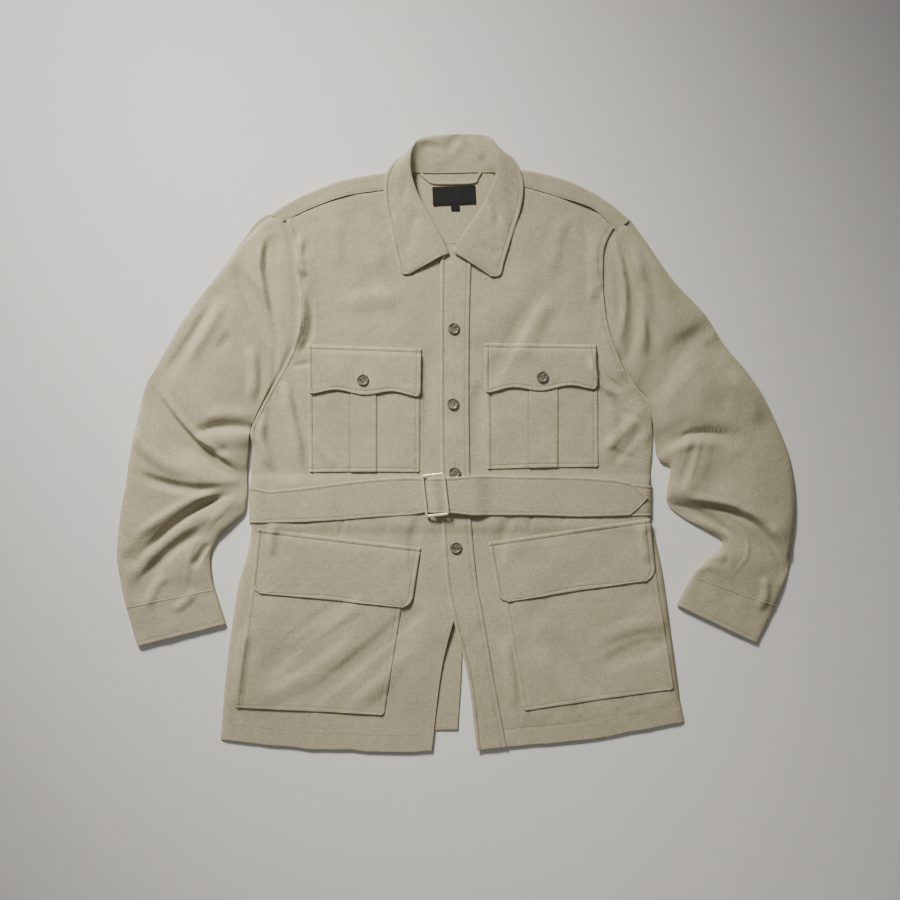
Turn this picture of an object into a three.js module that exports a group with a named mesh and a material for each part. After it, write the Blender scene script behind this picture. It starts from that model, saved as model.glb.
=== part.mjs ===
// A belted safari jacket laid flat on its back, buttoned, front up. Millimetres, +Z up, floor at z = 0.
// +X runs to the viewer's right, which is the wearer's left, and +Y runs from the hem to the collar.
// Every piece of cloth is a thin wall: one function gives the height of the top layer of the garment,
// and whatever lies on that layer is made from its points, moved out by what lies below.
import * as THREE from "three";

// Walls and the air between them
const CLOTH = 1.2;
const TURNED_CLOTH = 1.5;      // flaps, cuffs and placket are two plies
const LAYER_GAP = 0.7;
const SEAM_GAP = 0.4;
const LOFT = 4.8;              // outer face of the front above the floor, where nothing lifts it
const LOWEST_TOP = 3.0;        // no trough goes below this
const HEM_HEIGHT = 3.2;        // the front's outer face comes down to this at the hem
const SIDE_ROLL = 12;          // distance over which a side edge rolls down to the floor
const SLEEVE_ROLL = 9;

// Main levels in plan
const YOKE_SEAM_Y = 260;
const BELT_Y = -79;
const BELT_WIDTH = 50;
const BELT_RISE = CLOTH + LAYER_GAP;   // the back strap lifts the body off the floor

// Offsets of stacked pieces, bottom face above the front's outer face
const ON_FRONT = LAYER_GAP;
const PLACKET_TOP = ON_FRONT + TURNED_CLOTH;
const POCKET_TOP = ON_FRONT + CLOTH;
const PLEAT_RISE = 1.2;

const COLOURS = { cloth: 0xafa88f, horn: 0x8a8069, steel: 0xd5d3c8, label: 0x2a2827 };

// Reads a table of rows as objects with the named columns.
function table(columns, rows) {
  return rows.map((row) => Object.fromEntries(columns.map((column, i) => [column, row[i]])));
}

const clamp01 = (value) => Math.min(1, Math.max(0, value));
const mix = (a, b, t) => a + (b - a) * t;
const smoothstep = (value) => clamp01(value) ** 2 * (3 - 2 * clamp01(value));

// Smooth curve through one column of a table; t runs from 0 at the first row to 1 at the last.
function along(rows, column, t) {
  const last = rows.length - 1;
  const i = Math.min(last - 1, Math.floor(clamp01(t) * last));
  const f = clamp01(t) * last - i;
  const at = (k) => rows[Math.min(last, Math.max(0, k))][column];
  const slopeIn = (at(i + 1) - at(i - 1)) / (i === 0 ? 1 : 2);
  const slopeOut = (at(i + 2) - at(i)) / (i === last - 1 ? 1 : 2);
  const f2 = f * f;
  const f3 = f2 * f;
  return (2 * f3 - 3 * f2 + 1) * at(i) + (f3 - 2 * f2 + f) * slopeIn
    + (3 * f2 - 2 * f3) * at(i + 1) + (f3 - f2) * slopeOut;
}

// Straight interpolation of one column against another that rises from row to row.
function lookUp(rows, key, column, value) {
  let i = 0;
  while (i < rows.length - 2 && value > rows[i + 1][key]) i += 1;
  const f = clamp01((value - rows[i][key]) / (rows[i + 1][key] - rows[i][key]));
  return mix(rows[i][column], rows[i + 1][column], smoothstep(f));
}

// Main folds of the top layer: a soft ridge, or a trough where the height is negative, along a
// line that bends once at its middle point.
const FOLDS = table(["x1", "y1", "xm", "ym", "x2", "y2", "reach", "height"], [
  // wearer's right sleeve, from the shoulder down
  [-252, 262, -256, 215, -238, 160, 20, 2.2],
  [-236, 262, -242, 235, -234, 170, 13, -1.8],
  [-282, 221, -262, 185, -240, 150, 16, -2.4],
  [-315, 188, -362, 117, -397, 77, 28, -2.4],
  [-330, 150, -300, 90, -320, 45, 45, 2.0],
  [-397, 75, -350, -3, -279, -47, 26, -4.4],
  [-415, 25, -370, -35, -300, -62, 30, 2.2],
  [-332, 4, -300, 6, -272, 6, 16, 2.4],
  [-281, -63, -348, -95, -420, -151, 18, -3.0],
  [-329, -114, -374, -144, -411, -192, 24, -3.4],
  [-290, -78, -353, -110, -400, -144, 14, 1.6],
  // wearer's left sleeve, from the shoulder down
  [232, 230, 240, 180, 238, 130, 14, 1.8],
  [262, 225, 285, 170, 300, 140, 34, 2.2],
  [240, 205, 250, 158, 259, 118, 15, -2.4],
  [259, 79, 290, 123, 334, 126, 30, -3.6],
  [300, 60, 345, 85, 390, 60, 40, 2.0],
  [262, -3, 300, 19, 360, 6, 20, -3.2],
  [308, 0, 306, -30, 299, -58, 16, 2.4],
  [339, -5, 342, -30, 335, -58, 34, -2.0],
  [290, -62, 360, -72, 415, -110, 26, 2.4],
  [277, -84, 361, -99, 422, -165, 22, -4.4],
  [350, -145, 385, -168, 400, -200, 30, 2.0],
  // body
  [187, 255, 191, 190, 212, 95, 22, 2.4],
  [-198, 235, -192, 180, -202, 135, 18, 2.6],
  [-234, 60, -239, 5, -215, -40, 16, -2.0],
  [236, 40, 226, 15, 215, -15, 22, 1.4],
  [95, 215, 70, 180, 40, 150, 34, 1.4],
  [-110, 250, -85, 210, -60, 170, 40, 1.2],
  [-245, -215, -255, -270, -265, -330, 34, 1.6],
  [-40, -225, -50, -280, -60, -330, 34, 1.6],
  [110, -250, 107, -300, 104, -350, 36, 1.0],
  [285, -300, 274, -260, 262, -220, 28, 1.4],
]);

function distanceToSegment(x, y, x1, y1, x2, y2) {
  const dx = x2 - x1;
  const dy = y2 - y1;
  const t = clamp01(((x - x1) * dx + (y - y1) * dy) / (dx * dx + dy * dy));
  return Math.hypot(x - x1 - t * dx, y - y1 - t * dy);
}

function foldHeight(x, y) {
  let height = 0;
  for (const fold of FOLDS) {
    const { x1, y1, xm, ym, x2, y2, reach } = fold;
    const away = Math.min(distanceToSegment(x, y, x1, y1, xm, ym), distanceToSegment(x, y, xm, ym, x2, y2));
    const nearness = 1 - away / reach;
    if (nearness > 0) height += fold.height * smoothstep(nearness);
  }
  return height;
}

// Lift of the body over the belt's back strap.
const beltLift = (y) => BELT_RISE * smoothstep(1 - (Math.abs(y - BELT_Y) - BELT_WIDTH / 2 - 2) / 14);

// A height that eases out above the lowest one at which the layers still clear each other.
const easedFloor = (height) => LOWEST_TOP + Math.log1p(Math.exp((height - LOWEST_TOP) * 2)) / 2;

// Outer face of the garment's top layer.
const layerHeight = (x, y) => easedFloor(LOFT + foldHeight(x, y));
const topHeight = (x, y) => layerHeight(x, y) + beltLift(y);

// Quarter round of a rolled edge: 0 at the edge, 1 from the roll's width inwards.
const rolled = (distance, width) => Math.sqrt(1 - (1 - clamp01(distance / width)) ** 2);

// Closed solid between an outer grid of points and the same grid moved in by the wall.
// Positions come row by row; a tube's rows close on themselves. Nothing goes below the floor.
// Where inside is given, it is the grid of the wall's other face.
function wall(name, material, grid, thickness, { closed = false, floor = () => 0, inside = null } = {}) {
  const rows = grid.length;
  const cols = grid[0].length;
  const at = (i, j) => {
    const jj = closed ? (j + cols) % cols : Math.min(cols - 1, Math.max(0, j));
    return grid[Math.min(rows - 1, Math.max(0, i))][jj];
  };
  const positions = [];
  const inner = [];
  for (let i = 0; i < rows; i += 1) {
    for (let j = 0; j < cols; j += 1) {
      const du = at(i, j + 1).clone().sub(at(i, j - 1)).normalize();
      const dv = at(i + 1, j).clone().sub(at(i - 1, j)).normalize();
      const normal = du.cross(dv).normalize();
      positions.push(...at(i, j).toArray());
      const other = inside ? inside[i][j] : at(i, j).clone().addScaledVector(normal, -thickness);
      inner.push(other.x, other.y, Math.max(other.z, floor(other.y)));
    }
  }
  const count = rows * cols;
  positions.push(...inner);
  const index = [];
  const quad = (a, b, c, d) => index.push(a, b, c, a, c, d);
  const spans = closed ? cols : cols - 1;
  for (let i = 0; i < rows - 1; i += 1) {
    for (let j = 0; j < spans; j += 1) {
      const a = i * cols + j;
      const b = i * cols + ((j + 1) % cols);
      quad(a, b, b + cols, a + cols);
      quad(count + a + cols, count + b + cols, count + b, count + a);
    }
  }
  for (let j = 0; j < spans; j += 1) {
    const b = (j + 1) % cols;
    const top = (rows - 1) * cols;
    quad(b, j, count + j, count + b);
    quad(top + j, top + b, count + top + b, count + top + j);
  }
  if (!closed) {
    for (let i = 0; i < rows - 1; i += 1) {
      const a = i * cols;
      const b = a + cols;
      quad(a, b, count + b, count + a);
      const c = a + cols - 1;
      quad(c + cols, c, count + c, count + c + cols);
    }
  }
  const geometry = new THREE.BufferGeometry();
  geometry.setAttribute("position", new THREE.Float32BufferAttribute(positions, 3));
  geometry.setIndex(index);
  geometry.computeVertexNormals();
  return named(name, geometry, material);
}

function named(name, geometry, material) {
  const mesh = new THREE.Mesh(geometry, material);
  mesh.name = name;
  return mesh;
}

// Grid of points from a function of (across, down), both 0 to 1, at the given stops.
function gridOf(acrossStops, downStops, point) {
  return downStops.map((v) => acrossStops.map((u) => point(u, v)));
}

const evenStops = (count) => Array.from({ length: count + 1 }, (_, i) => i / count);

// Even stops with others put in, where none of the even ones is close.
function stopsWith(count, extra) {
  const even = evenStops(count).filter((v) => extra.every((e) => Math.abs(e - v) > 0.35 / count));
  return [...new Set([0, ...even, ...extra, 1])].sort((a, b) => a - b);
}

// Share of the way down a table at which a falling column reaches a value.
function stopAt(rows, column, value) {
  let low = 0;
  let high = 1;
  for (let step = 0; step < 30; step += 1) {
    const middle = (low + high) / 2;
    if (along(rows, column, middle) > value) low = middle;
    else high = middle;
  }
  return low;
}

// Where the ramps of the belt's lift start and end.
const LIFT_LEVELS = [41, 27, -27, -41].map((away) => BELT_Y + away);

// A sheet whose outer face looks up. The grid must turn anticlockwise seen from above,
// so a plan that runs the other way is mirrored across its rows.
function sheet(name, material, acrossStops, downStops, point, thickness, options = {}) {
  const grid = gridOf(acrossStops, downStops, point);
  const a = grid[0][0];
  const b = grid[0][grid[0].length - 1];
  const c = grid[grid.length - 1][0];
  const turn = (b.x - a.x) * (c.y - a.y) - (b.y - a.y) * (c.x - a.x);
  return wall(name, material, turn > 0 ? grid : grid.map((row) => row.reverse()), thickness, options);
}

function finish(colour, roughness = 0.9, metalness = 0) {
  return new THREE.MeshStandardMaterial({ color: colour, roughness, metalness });
}

// Fronts. Each row runs from the centre edge to the armhole or side edge; roll says how much
// the outer end rolls down to the floor.
const FRONT_COLUMNS = ["inX", "inY", "outX", "outY", "roll"];
const FRONTS = {
  left: table(FRONT_COLUMNS, [
    [68, 345, 211, 289, 0],
    [56, 306, 194, 257, 0],
    [40, 277, 191, 220, 0],
    [26, 250, 193, 183, 0],
    [14, 218, 198, 151, 0],
    [12, 179, 209, 118, 0],
    [11, 140, 226, 82, 0],
    [11, 95, 251, 54, 0],
    [11, 52, 257, 18, 1],
    [11, 4, 256, -14, 1],
    [11, -42, 253, -48, 1],
    [12, -92, 252, -94, 1],
    [15, -133, 261, -129, 1],
    [22, -178, 270, -174, 1],
    [30, -224, 277, -224, 1],
    [40, -282, 285, -285, 1],
    [53, -348, 292, -334, 1],
    [62, -396, 298, -363, 1],
  ]),
  right: table(FRONT_COLUMNS, [
    [-72, 339, -223, 297, 0],
    [-58, 306, -212, 257, 0],
    [-40, 277, -207, 218, 0],
    [-18, 251, -204, 179, 0],
    [5, 226, -207, 140, 0],
    [5, 179, -221, 105, 0],
    [5, 140, -243, 66, 0],
    [5, 95, -266, 20, 0],
    [5, 52, -267, -4, 1],
    [5, 4, -267, -22, 1],
    [5, -42, -267, -50, 1],
    [5, -92, -266, -96, 1],
    [5, -133, -270, -136, 1],
    [3, -178, -283, -182, 1],
    [0, -217, -291, -230, 1],
    [-12, -263, -298, -282, 1],
    [-21, -308, -303, -334, 1],
    [-32, -402, -307, -387, 1],
  ]),
};
const ARMHOLE_ROWS = 7;       // rows of a front from the shoulder to the underarm

function frontPoint(rows, u, v) {
  const inX = along(rows, "inX", v);
  const inY = along(rows, "inY", v);
  const outX = along(rows, "outX", v);
  const outY = along(rows, "outY", v);
  const x = mix(inX, outX, u);
  const y = mix(inY, outY, u) - 5 * Math.sin(Math.PI * u) * smoothstep((v - 0.8) / 0.2);
  const fromEdge = (1 - u) * Math.hypot(outX - inX, outY - inY);
  const roll = clamp01(along(rows, "roll", v));
  const toHem = smoothstep((v - 0.93) / 0.07);
  const top = mix(topHeight(x, y), HEM_HEIGHT, toHem);
  const floor = beltLift(y);
  const edge = mix(1, rolled(fromEdge, SIDE_ROLL), roll);
  return new THREE.Vector3(x, y, floor + (top - floor) * edge);
}

function addFronts(jacket, material) {
  const across = [...evenStops(10).map((u) => u * 0.955), 0.978, 0.991, 1];
  for (const side of ["left", "right"]) {
    const point = (u, v) => frontPoint(FRONTS[side], u, v);
    const levels = LIFT_LEVELS.map((y) => stopAt(FRONTS[side], "inY", y));
    const down = stopsWith(24, levels);
    jacket.add(sheet(`front_${side}`, material, across, down, point, CLOTH, { floor: beltLift }));
  }
}

// Back: two halves with a centre seam down to an open vent. They lie on the floor inside the
// fronts' rolled edges.
const BACK_COLUMNS = ["inX", "inY", "outX", "outY"];
const BACKS = {
  left: table(BACK_COLUMNS, [
    [0, 260, 210, 260],
    [2, 190, 207, 195],
    [4, 110, 214, 120],
    [5, 60, 245, 47],
    [6, 0, 253, 10],
    [7, -75, 248, -75],
    [8, -140, 258, -140],
    [11, -204, 269, -204],
    [23, -292, 281, -285],
    [35, -380, 290, -358],
  ]),
  right: table(BACK_COLUMNS, [
    [0, 260, -225, 260],
    [2, 190, -224, 195],
    [4, 110, -232, 120],
    [5, 60, -244, 50],
    [6, 0, -263, 5],
    [7, -75, -261, -75],
    [8, -140, -264, -140],
    [9, -204, -281, -204],
    [7, -292, -293, -290],
    [2, -374, -300, -382],
  ]),
};

function addBacks(jacket, material) {
  for (const side of ["left", "right"]) {
    const rows = BACKS[side];
    const sign = side === "left" ? 1 : -1;
    const point = (u, v) => {
      const x = mix(along(rows, "inX", v) + sign * SEAM_GAP / 2, along(rows, "outX", v), u);
      const y = mix(along(rows, "inY", v), along(rows, "outY", v), u) - (v === 0 ? SEAM_GAP : 0);
      return new THREE.Vector3(x, y, beltLift(y) + CLOTH);
    };
    const levels = LIFT_LEVELS.map((y) => stopAt(rows, "inY", y));
    jacket.add(sheet(`back_${side}`, material, evenStops(6), stopsWith(18, levels), point, CLOTH));
  }
}

// Yoke: lies on the floor across the back, turns over each shoulder and laps the fronts.
// wrap is 1 where a column goes all the way over and 0 where it ends at the neck seam.
const YOKE = table(["startX", "foldX", "foldY", "edgeX", "edgeY", "wrap"], [
  [-227, -241, 299, -225, 288, 1],
  [-196, -203, 321, -186, 306, 1],
  [-151, -153, 341, -144, 321, 1],
  [-105, -109, 350, -101, 328, 1],
  [-80, -83, 353, -73, 332, 1],
  [-60, -66, 354, -62, 345, 0.55],
  [-44, -50, 354, -50, 352, 0],
  [-22, -25, 354, -25, 352, 0],
  [0, 0, 354, 0, 352, 0],
  [22, 24, 355, 24, 353, 0],
  [42, 47, 356, 47, 354, 0],
  [60, 62, 357, 58, 348, 0.55],
  [82, 80, 356, 71, 336, 1],
  [104, 103, 353, 97, 331, 1],
  [140, 145, 342, 136, 319, 1],
  [176, 189, 320, 178, 305, 1],
  [212, 225, 292, 209, 276, 1],
]);
const SHOULDER_ROLL = 4;

function yokePoint(u, v) {
  const start = new THREE.Vector2(along(YOKE, "startX", u), YOKE_SEAM_Y);
  const fold = new THREE.Vector2(along(YOKE, "foldX", u), along(YOKE, "foldY", u));
  const edge = new THREE.Vector2(along(YOKE, "edgeX", u), along(YOKE, "edgeY", u));
  const wrap = clamp01(along(YOKE, "wrap", u));
  const stage = v * (1 + 2 * wrap);
  const heading = fold.clone().sub(start).normalize();
  const bend = fold.clone().addScaledVector(heading, -SHOULDER_ROLL);
  const edgeHeight = layerHeight(edge.x, edge.y) + ON_FRONT + CLOTH;
  if (stage <= 1) {
    const floorEnd = bend.lerp(fold, 1 - wrap);
    return new THREE.Vector3(mix(start.x, floorEnd.x, stage), mix(start.y, floorEnd.y, stage), 0);
  }
  if (stage <= 2) {
    const angle = Math.PI * (stage - 1.5);
    const out = bend.addScaledVector(heading, SHOULDER_ROLL * Math.cos(angle));
    return new THREE.Vector3(out.x, out.y, edgeHeight * (1 + Math.sin(angle)) / 2);
  }
  return new THREE.Vector3(mix(bend.x, edge.x, stage - 2), mix(bend.y, edge.y, stage - 2), edgeHeight);
}

function addYoke(jacket, material) {
  const grid = gridOf(evenStops(26), evenStops(10), yokePoint);
  jacket.add(wall("yoke", material, grid.map((row) => row.reverse()), CLOTH));
}

// Sleeves: flattened tubes. Each row crosses the tube from its outer fold to its inner fold,
// and pull says how far the row still follows the armhole.
const SLEEVE_COLUMNS = ["outX", "outY", "inX", "inY", "pull"];
const SLEEVES = {
  left: table(SLEEVE_COLUMNS, [
    [227, 291, 264, 54, 1],
    [259, 248, 268, 22, 0.42],
    [291, 202, 269, -18, 0.14],
    [326, 166, 281, -29, 0.03],
    [350, 127, 278, -44, 0],
    [378, 94, 275, -62, 0],
    [403, 56, 276, -80, 0],
    [428, 0, 296, -97, 0],
    [438, -37, 323, -112, 0],
    [442, -74, 341, -122, 0],
    [441, -107, 347, -130, 0],
    [436, -146, 342, -140, 0],
    [429, -178, 330, -150, 0],
    [416, -211, 308, -172, 0],
    [392, -261, 287, -211, 0],
  ]),
  right: table(SLEEVE_COLUMNS, [
    [-242, 299, -271, 15, 1],
    [-268, 285, -272, 4, 0.5],
    [-286, 257, -271, -14, 0.2],
    [-318, 212, -271, -28, 0.05],
    [-355, 161, -272, -39, 0],
    [-390, 100, -272, -49, 0],
    [-404, 75, -272, -60, 0],
    [-415, 30, -273, -74, 0],
    [-425, -16, -276, -91, 0],
    [-430, -52, -286, -102, 0],
    [-436, -84, -299, -114, 0],
    [-440, -117, -312, -128, 0],
    [-442, -149, -320, -147, 0],
    [-437, -181, -319, -170, 0],
    [-430, -213, -315, -189, 0],
    [-415, -265, -300, -236, 0],
  ]),
};
const CUFF_LENGTH_SHARE = { left: 1 / 14, right: 1 / 15 };   // the last row of each table
const BACK_ARMHOLE = {
  left: table(["x", "y"], [[227, 291], [213, 258], [209, 195], [217, 120], [248, 55]]),
  right: table(["x", "y"], [[-243.5, 299], [-231.5, 258], [-228, 195], [-236, 120], [-267, 12]]),
};
const CUFF_GAP_SHARE = 0.0007;
const SLEEVE_PUFF = 0.4;
const SLEEVE_FULLNESS = 5;       // how much higher the middle of a sleeve stands than its ends
const SLEEVE_MID_HEIGHT = 2.4;   // height of a sleeve's fold edge
const UNDERLAP = 4;              // how far a sleeve head runs in under the front's armhole edge

// A sleeve stands fuller from below its head to above its cuff, and across it like an arch.
function fullness(v, t) {
  const lengthwise = smoothstep((v - 0.1) / 0.2) * smoothstep((0.94 - v) / 0.16);
  return SLEEVE_FULLNESS * lengthwise * (1 - (2 * t - 1) ** 4);
}

// Point on a sleeve: t goes across from the outer fold (0) to the inner fold (1). depth is 0 on
// the outer face and the wall's thickness on the inner one.
function sleevePoint(side, v, t, upper, depth) {
  const rows = SLEEVES[side];
  const sign = side === "left" ? -1 : 1;
  const outX = along(rows, "outX", v);
  const outY = along(rows, "outY", v);
  const inX = along(rows, "inX", v);
  const inY = along(rows, "inY", v);
  const pull = clamp01(along(rows, "pull", v));
  const seamV = ARMHOLE_ROWS / (FRONTS[side].length - 1);
  const armX = upper ? along(FRONTS[side], "outX", t * seamV) + sign * UNDERLAP * Math.sin(Math.PI * t)
    : along(BACK_ARMHOLE[side], "x", t) - sign * 1.0;
  const armY = upper ? along(FRONTS[side], "outY", t * seamV) : along(BACK_ARMHOLE[side], "y", t);
  const width = Math.hypot(outX - inX, outY - inY);
  const fromEdge = Math.min(t, 1 - t) * width;
  const round = upper ? rolled(fromEdge, SLEEVE_ROLL) : rolled(fromEdge, SLEEVE_ROLL / 2);
  const inwards = depth * (1 - round) * (t < 0.5 ? 1 : -1) / width;
  const x = mix(mix(outX, inX, t), armX, pull) + (inX - outX) * inwards;
  const y = mix(mix(outY, inY, t), armY, pull) + (inY - outY) * inwards;
  if (!upper) return new THREE.Vector3(x, y, SLEEVE_MID_HEIGHT * (1 - round) + depth * round);
  const tuck = (CLOTH + LAYER_GAP + 0.5) * smoothstep(1 - (v - 0.012) / 0.05);
  const top = easedFloor(LOFT + foldHeight(x, y) + SLEEVE_PUFF + fullness(v, t)) - tuck;
  return new THREE.Vector3(x, y, mix(SLEEVE_MID_HEIGHT, top, round) - depth * round);
}

function sleeveTube(name, material, side, fromV, toV, sections, thickness) {
  const upperStops = evenStops(13).map((t) => (1 - Math.cos(Math.PI * t)) / 2);
  const lowerStops = [0.965, 0.82, 0.6, 0.4, 0.18, 0.035];
  const rings = (depth) => evenStops(sections).map((share) => {
    const v = mix(fromV, toV, share);
    const ring = [
      ...upperStops.map((t) => sleevePoint(side, v, t, true, depth)),
      ...lowerStops.map((t) => sleevePoint(side, v, t, false, depth)),
    ];
    return side === "right" ? ring.reverse() : ring;
  });
  return wall(name, material, rings(0), thickness, { closed: true, inside: rings(thickness) });
}

function addSleeves(jacket, material) {
  for (const side of ["left", "right"]) {
    const cuffStart = 1 - CUFF_LENGTH_SHARE[side];
    jacket.add(sleeveTube(`sleeve_${side}`, material, side, 0, cuffStart - CUFF_GAP_SHARE, 25, CLOTH));
    jacket.add(sleeveTube(`cuff_${side}`, material, side, cuffStart, 1, 3, TURNED_CLOTH));
  }
}

// Collar: a folded strip. seam is the edge sewn to the neck, roll the fold line, edge the leaf's
// free edge. turn is the way the cloth heads at the fold: 1 upwards where the leaf lies on the
// front, 0 outwards at the side of the neck, -1 downwards at the back, where the leaf is below.
const COLLAR_COLUMNS = ["seamX", "seamY", "seamZ", "rollX", "rollY", "rollZ", "edgeX", "edgeY", "edgeZ", "turn"];
const COLLAR = table(COLLAR_COLUMNS, [
  [-16, 240, 8.2, -9, 247, 10.4, -58, 221, 7.4, 1],
  [-20, 246, 8.0, -12, 252, 10.6, -70, 220, 7.4, 1],
  [-34, 262, 6.6, -24, 277, 10.0, -78, 240, 7.2, 1],
  [-47, 286, 6.0, -37, 301, 9.4, -86, 278, 7.2, 1],
  [-58, 307, 6.0, -49, 323, 9.8, -93, 314, 8.6, 1],
  [-64, 329, 7.4, -57, 347, 12.0, -93, 343, 9.0, 0.8],
  [-60, 347, 7.0, -59, 370, 14.0, -83, 363, 6.0, 0.3],
  [-52, 354, 6.0, -55, 387, 11.0, -70, 372, 1.5, -0.4],
  [-40, 355, 5.0, -45, 397, 5.0, -44, 365, 0, -1],
  [-20, 355.5, 4.8, -24, 401, 2.4, -22, 362, 0, -1],
  [0, 356, 4.8, 2, 402.5, 2.4, 2, 362, 0, -1],
  [22, 357, 4.8, 26, 402.5, 2.4, 24, 363, 0, -1],
  [38, 358, 5.0, 42, 399, 5.0, 40, 368, 0, -1],
  [48, 357, 6.0, 51, 389, 11.0, 64, 376, 1.5, -0.4],
  [56, 349, 7.0, 53, 372, 14.0, 78, 366, 6.0, 0.3],
  [58, 329, 7.4, 51, 347, 12.0, 87, 344, 9.0, 0.8],
  [49, 308, 6.0, 41, 322, 9.8, 86, 312, 8.6, 1],
  [40, 286, 6.0, 30, 300, 9.4, 74, 272, 7.2, 1],
  [25, 262, 6.6, 14, 275, 10.0, 63, 236, 7.2, 1],
  [10, 247, 8.0, 2, 253, 10.6, 58, 218, 7.4, 1],
  [7, 240, 8.2, -1, 248, 10.4, 46, 216, 7.4, 1],
]);
const COLLAR_STOPS = [0, 0.25, 0.4, 0.46, 0.5, 0.54, 0.6, 0.72, 0.86, 1];
const FOLD_PULL = 9;   // strength of the fold in the two half curves of a section

// Cubic curve from a to b that leaves with slope p and arrives with slope q.
function hermite(a, b, p, q, f) {
  const f2 = f * f;
  const f3 = f2 * f;
  return a.clone().multiplyScalar(2 * f3 - 3 * f2 + 1).addScaledVector(p, f3 - 2 * f2 + f)
    .addScaledVector(b, 3 * f2 - 2 * f3).addScaledVector(q, f3 - f2);
}

function collarPoint(u, v) {
  const read = (part) => new THREE.Vector3(...["X", "Y", "Z"].map((axis) => along(COLLAR, part + axis, u)));
  const seam = read("seam");
  const roll = read("roll");
  const edge = read("edge");
  const turn = along(COLLAR, "turn", u) * Math.PI / 2;
  const outward = edge.clone().sub(roll).setZ(0).normalize();
  const heading = outward.multiplyScalar(Math.cos(turn)).setZ(Math.sin(turn)).multiplyScalar(FOLD_PULL);
  const point = v < 0.5 ? hermite(seam, roll, roll.clone().sub(seam), heading, v * 2)
    : hermite(roll, edge, heading, edge.clone().sub(roll), v * 2 - 1);
  return point.setZ(Math.max(0, point.z));
}

function addCollar(jacket, material) {
  const grid = gridOf(evenStops(31), COLLAR_STOPS, collarPoint);
  jacket.add(wall("collar", material, grid, CLOTH));
}

// Placket: a turned strip over both fronts, with its left and right edges row by row.
const PLACKET = table(["leftX", "rightX", "y", "slant"], [
  [-20, 20, 246, -3],
  [-21, 18, 186, -4],
  [-21, 17, 117, 0],
  [-21, 17, 43, 0],
  [-20, 18, -35, 0],
  [-19, 19, -92, 0],
  [-13, 27, -178, 0],
  [-3, 36, -231, 2],
  [16, 49, -308, 2],
  [27, 66, -400, 4],
]);

function addPlacket(jacket, material) {
  const point = (u, v) => {
    const x = mix(along(PLACKET, "leftX", v), along(PLACKET, "rightX", v), u);
    const y = along(PLACKET, "y", v) + along(PLACKET, "slant", v) * u;
    const top = mix(topHeight(x, y), HEM_HEIGHT, smoothstep((v - 0.93) / 0.07));
    return new THREE.Vector3(x, y, top + PLACKET_TOP);
  };
  const levels = LIFT_LEVELS.map((y) => stopAt(PLACKET, "y", y));
  jacket.add(sheet("placket", material, evenStops(3), stopsWith(26, levels), point, TURNED_CLOTH));
}

// Four-sided patch between its corners, listed top inner, top outer, bottom inner, bottom outer.
// Its lower corners are rounded and its lower edge may be scalloped.
function patchPlan(patch, u, v) {
  const [topIn, topOut, lowIn, lowOut] = patch.corners;
  const height = Math.hypot(lowIn[0] - topIn[0], lowIn[1] - topIn[1]);
  const width = Math.hypot(topOut[0] - topIn[0], topOut[1] - topIn[1]);
  const above = (1 - v) * height;
  const round = patch.round;
  const inset = above < round ? round - Math.sqrt(round ** 2 - (round - above) ** 2) : 0;
  const across = mix(inset / width, 1 - inset / width, u);
  const x = mix(mix(topIn[0], topOut[0], across), mix(lowIn[0], lowOut[0], across), v);
  const y = mix(mix(topIn[1], topOut[1], across), mix(lowIn[1], lowOut[1], across), v);
  const scallop = patch.scallop * Math.sin(2 * Math.PI * across) ** 2 * v ** 2;
  return [x, y + scallop];
}

const CHEST_SCALLOP = 6;
const POCKETS = {
  chest_pocket_left: { corners: [[39, 112], [184, 112], [40, -34], [185, -31]], round: 2, scallop: 0,
    pleat: [94, 133] },
  chest_pocket_right: { corners: [[-47, 112], [-193, 112], [-47, -38], [-191, -38]], round: 2, scallop: 0,
    pleat: [-103, -138] },
  hip_pocket_left: { corners: [[54, -158], [258, -158], [88, -348], [283, -320]], round: 4, scallop: 0 },
  hip_pocket_right: { corners: [[-62, -158], [-262, -158], [-94, -354], [-288, -344]], round: 4, scallop: 0 },
};
const FLAPS = {
  chest_flap_left: { corners: [[37, 130], [182, 128], [37, 65], [184, 70]], round: 6, scallop: CHEST_SCALLOP,
    lift: POCKET_TOP + PLEAT_RISE + LAYER_GAP },
  chest_flap_right: { corners: [[-45, 123], [-193, 128], [-46, 60], [-192, 64]], round: 6, scallop: CHEST_SCALLOP,
    lift: POCKET_TOP + PLEAT_RISE + LAYER_GAP },
  hip_flap_left: { corners: [[42, -129], [252, -98], [56, -208], [260, -177]], round: 15, scallop: 0,
    lift: POCKET_TOP + LAYER_GAP },
  hip_flap_right: { corners: [[-46, -136], [-258, -111], [-58, -215], [-267, -194]], round: 14, scallop: 0,
    lift: POCKET_TOP + LAYER_GAP },
};
const PLEAT_EDGE = 2;   // width of the step at each edge of a pleat

// Height added by the raised band of a box pleat.
function pleatRise(pleat, x) {
  if (!pleat) return 0;
  const low = Math.min(...pleat);
  const high = Math.max(...pleat);
  return PLEAT_RISE * smoothstep((x - low) / PLEAT_EDGE) * smoothstep((high - x) / PLEAT_EDGE);
}

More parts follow.
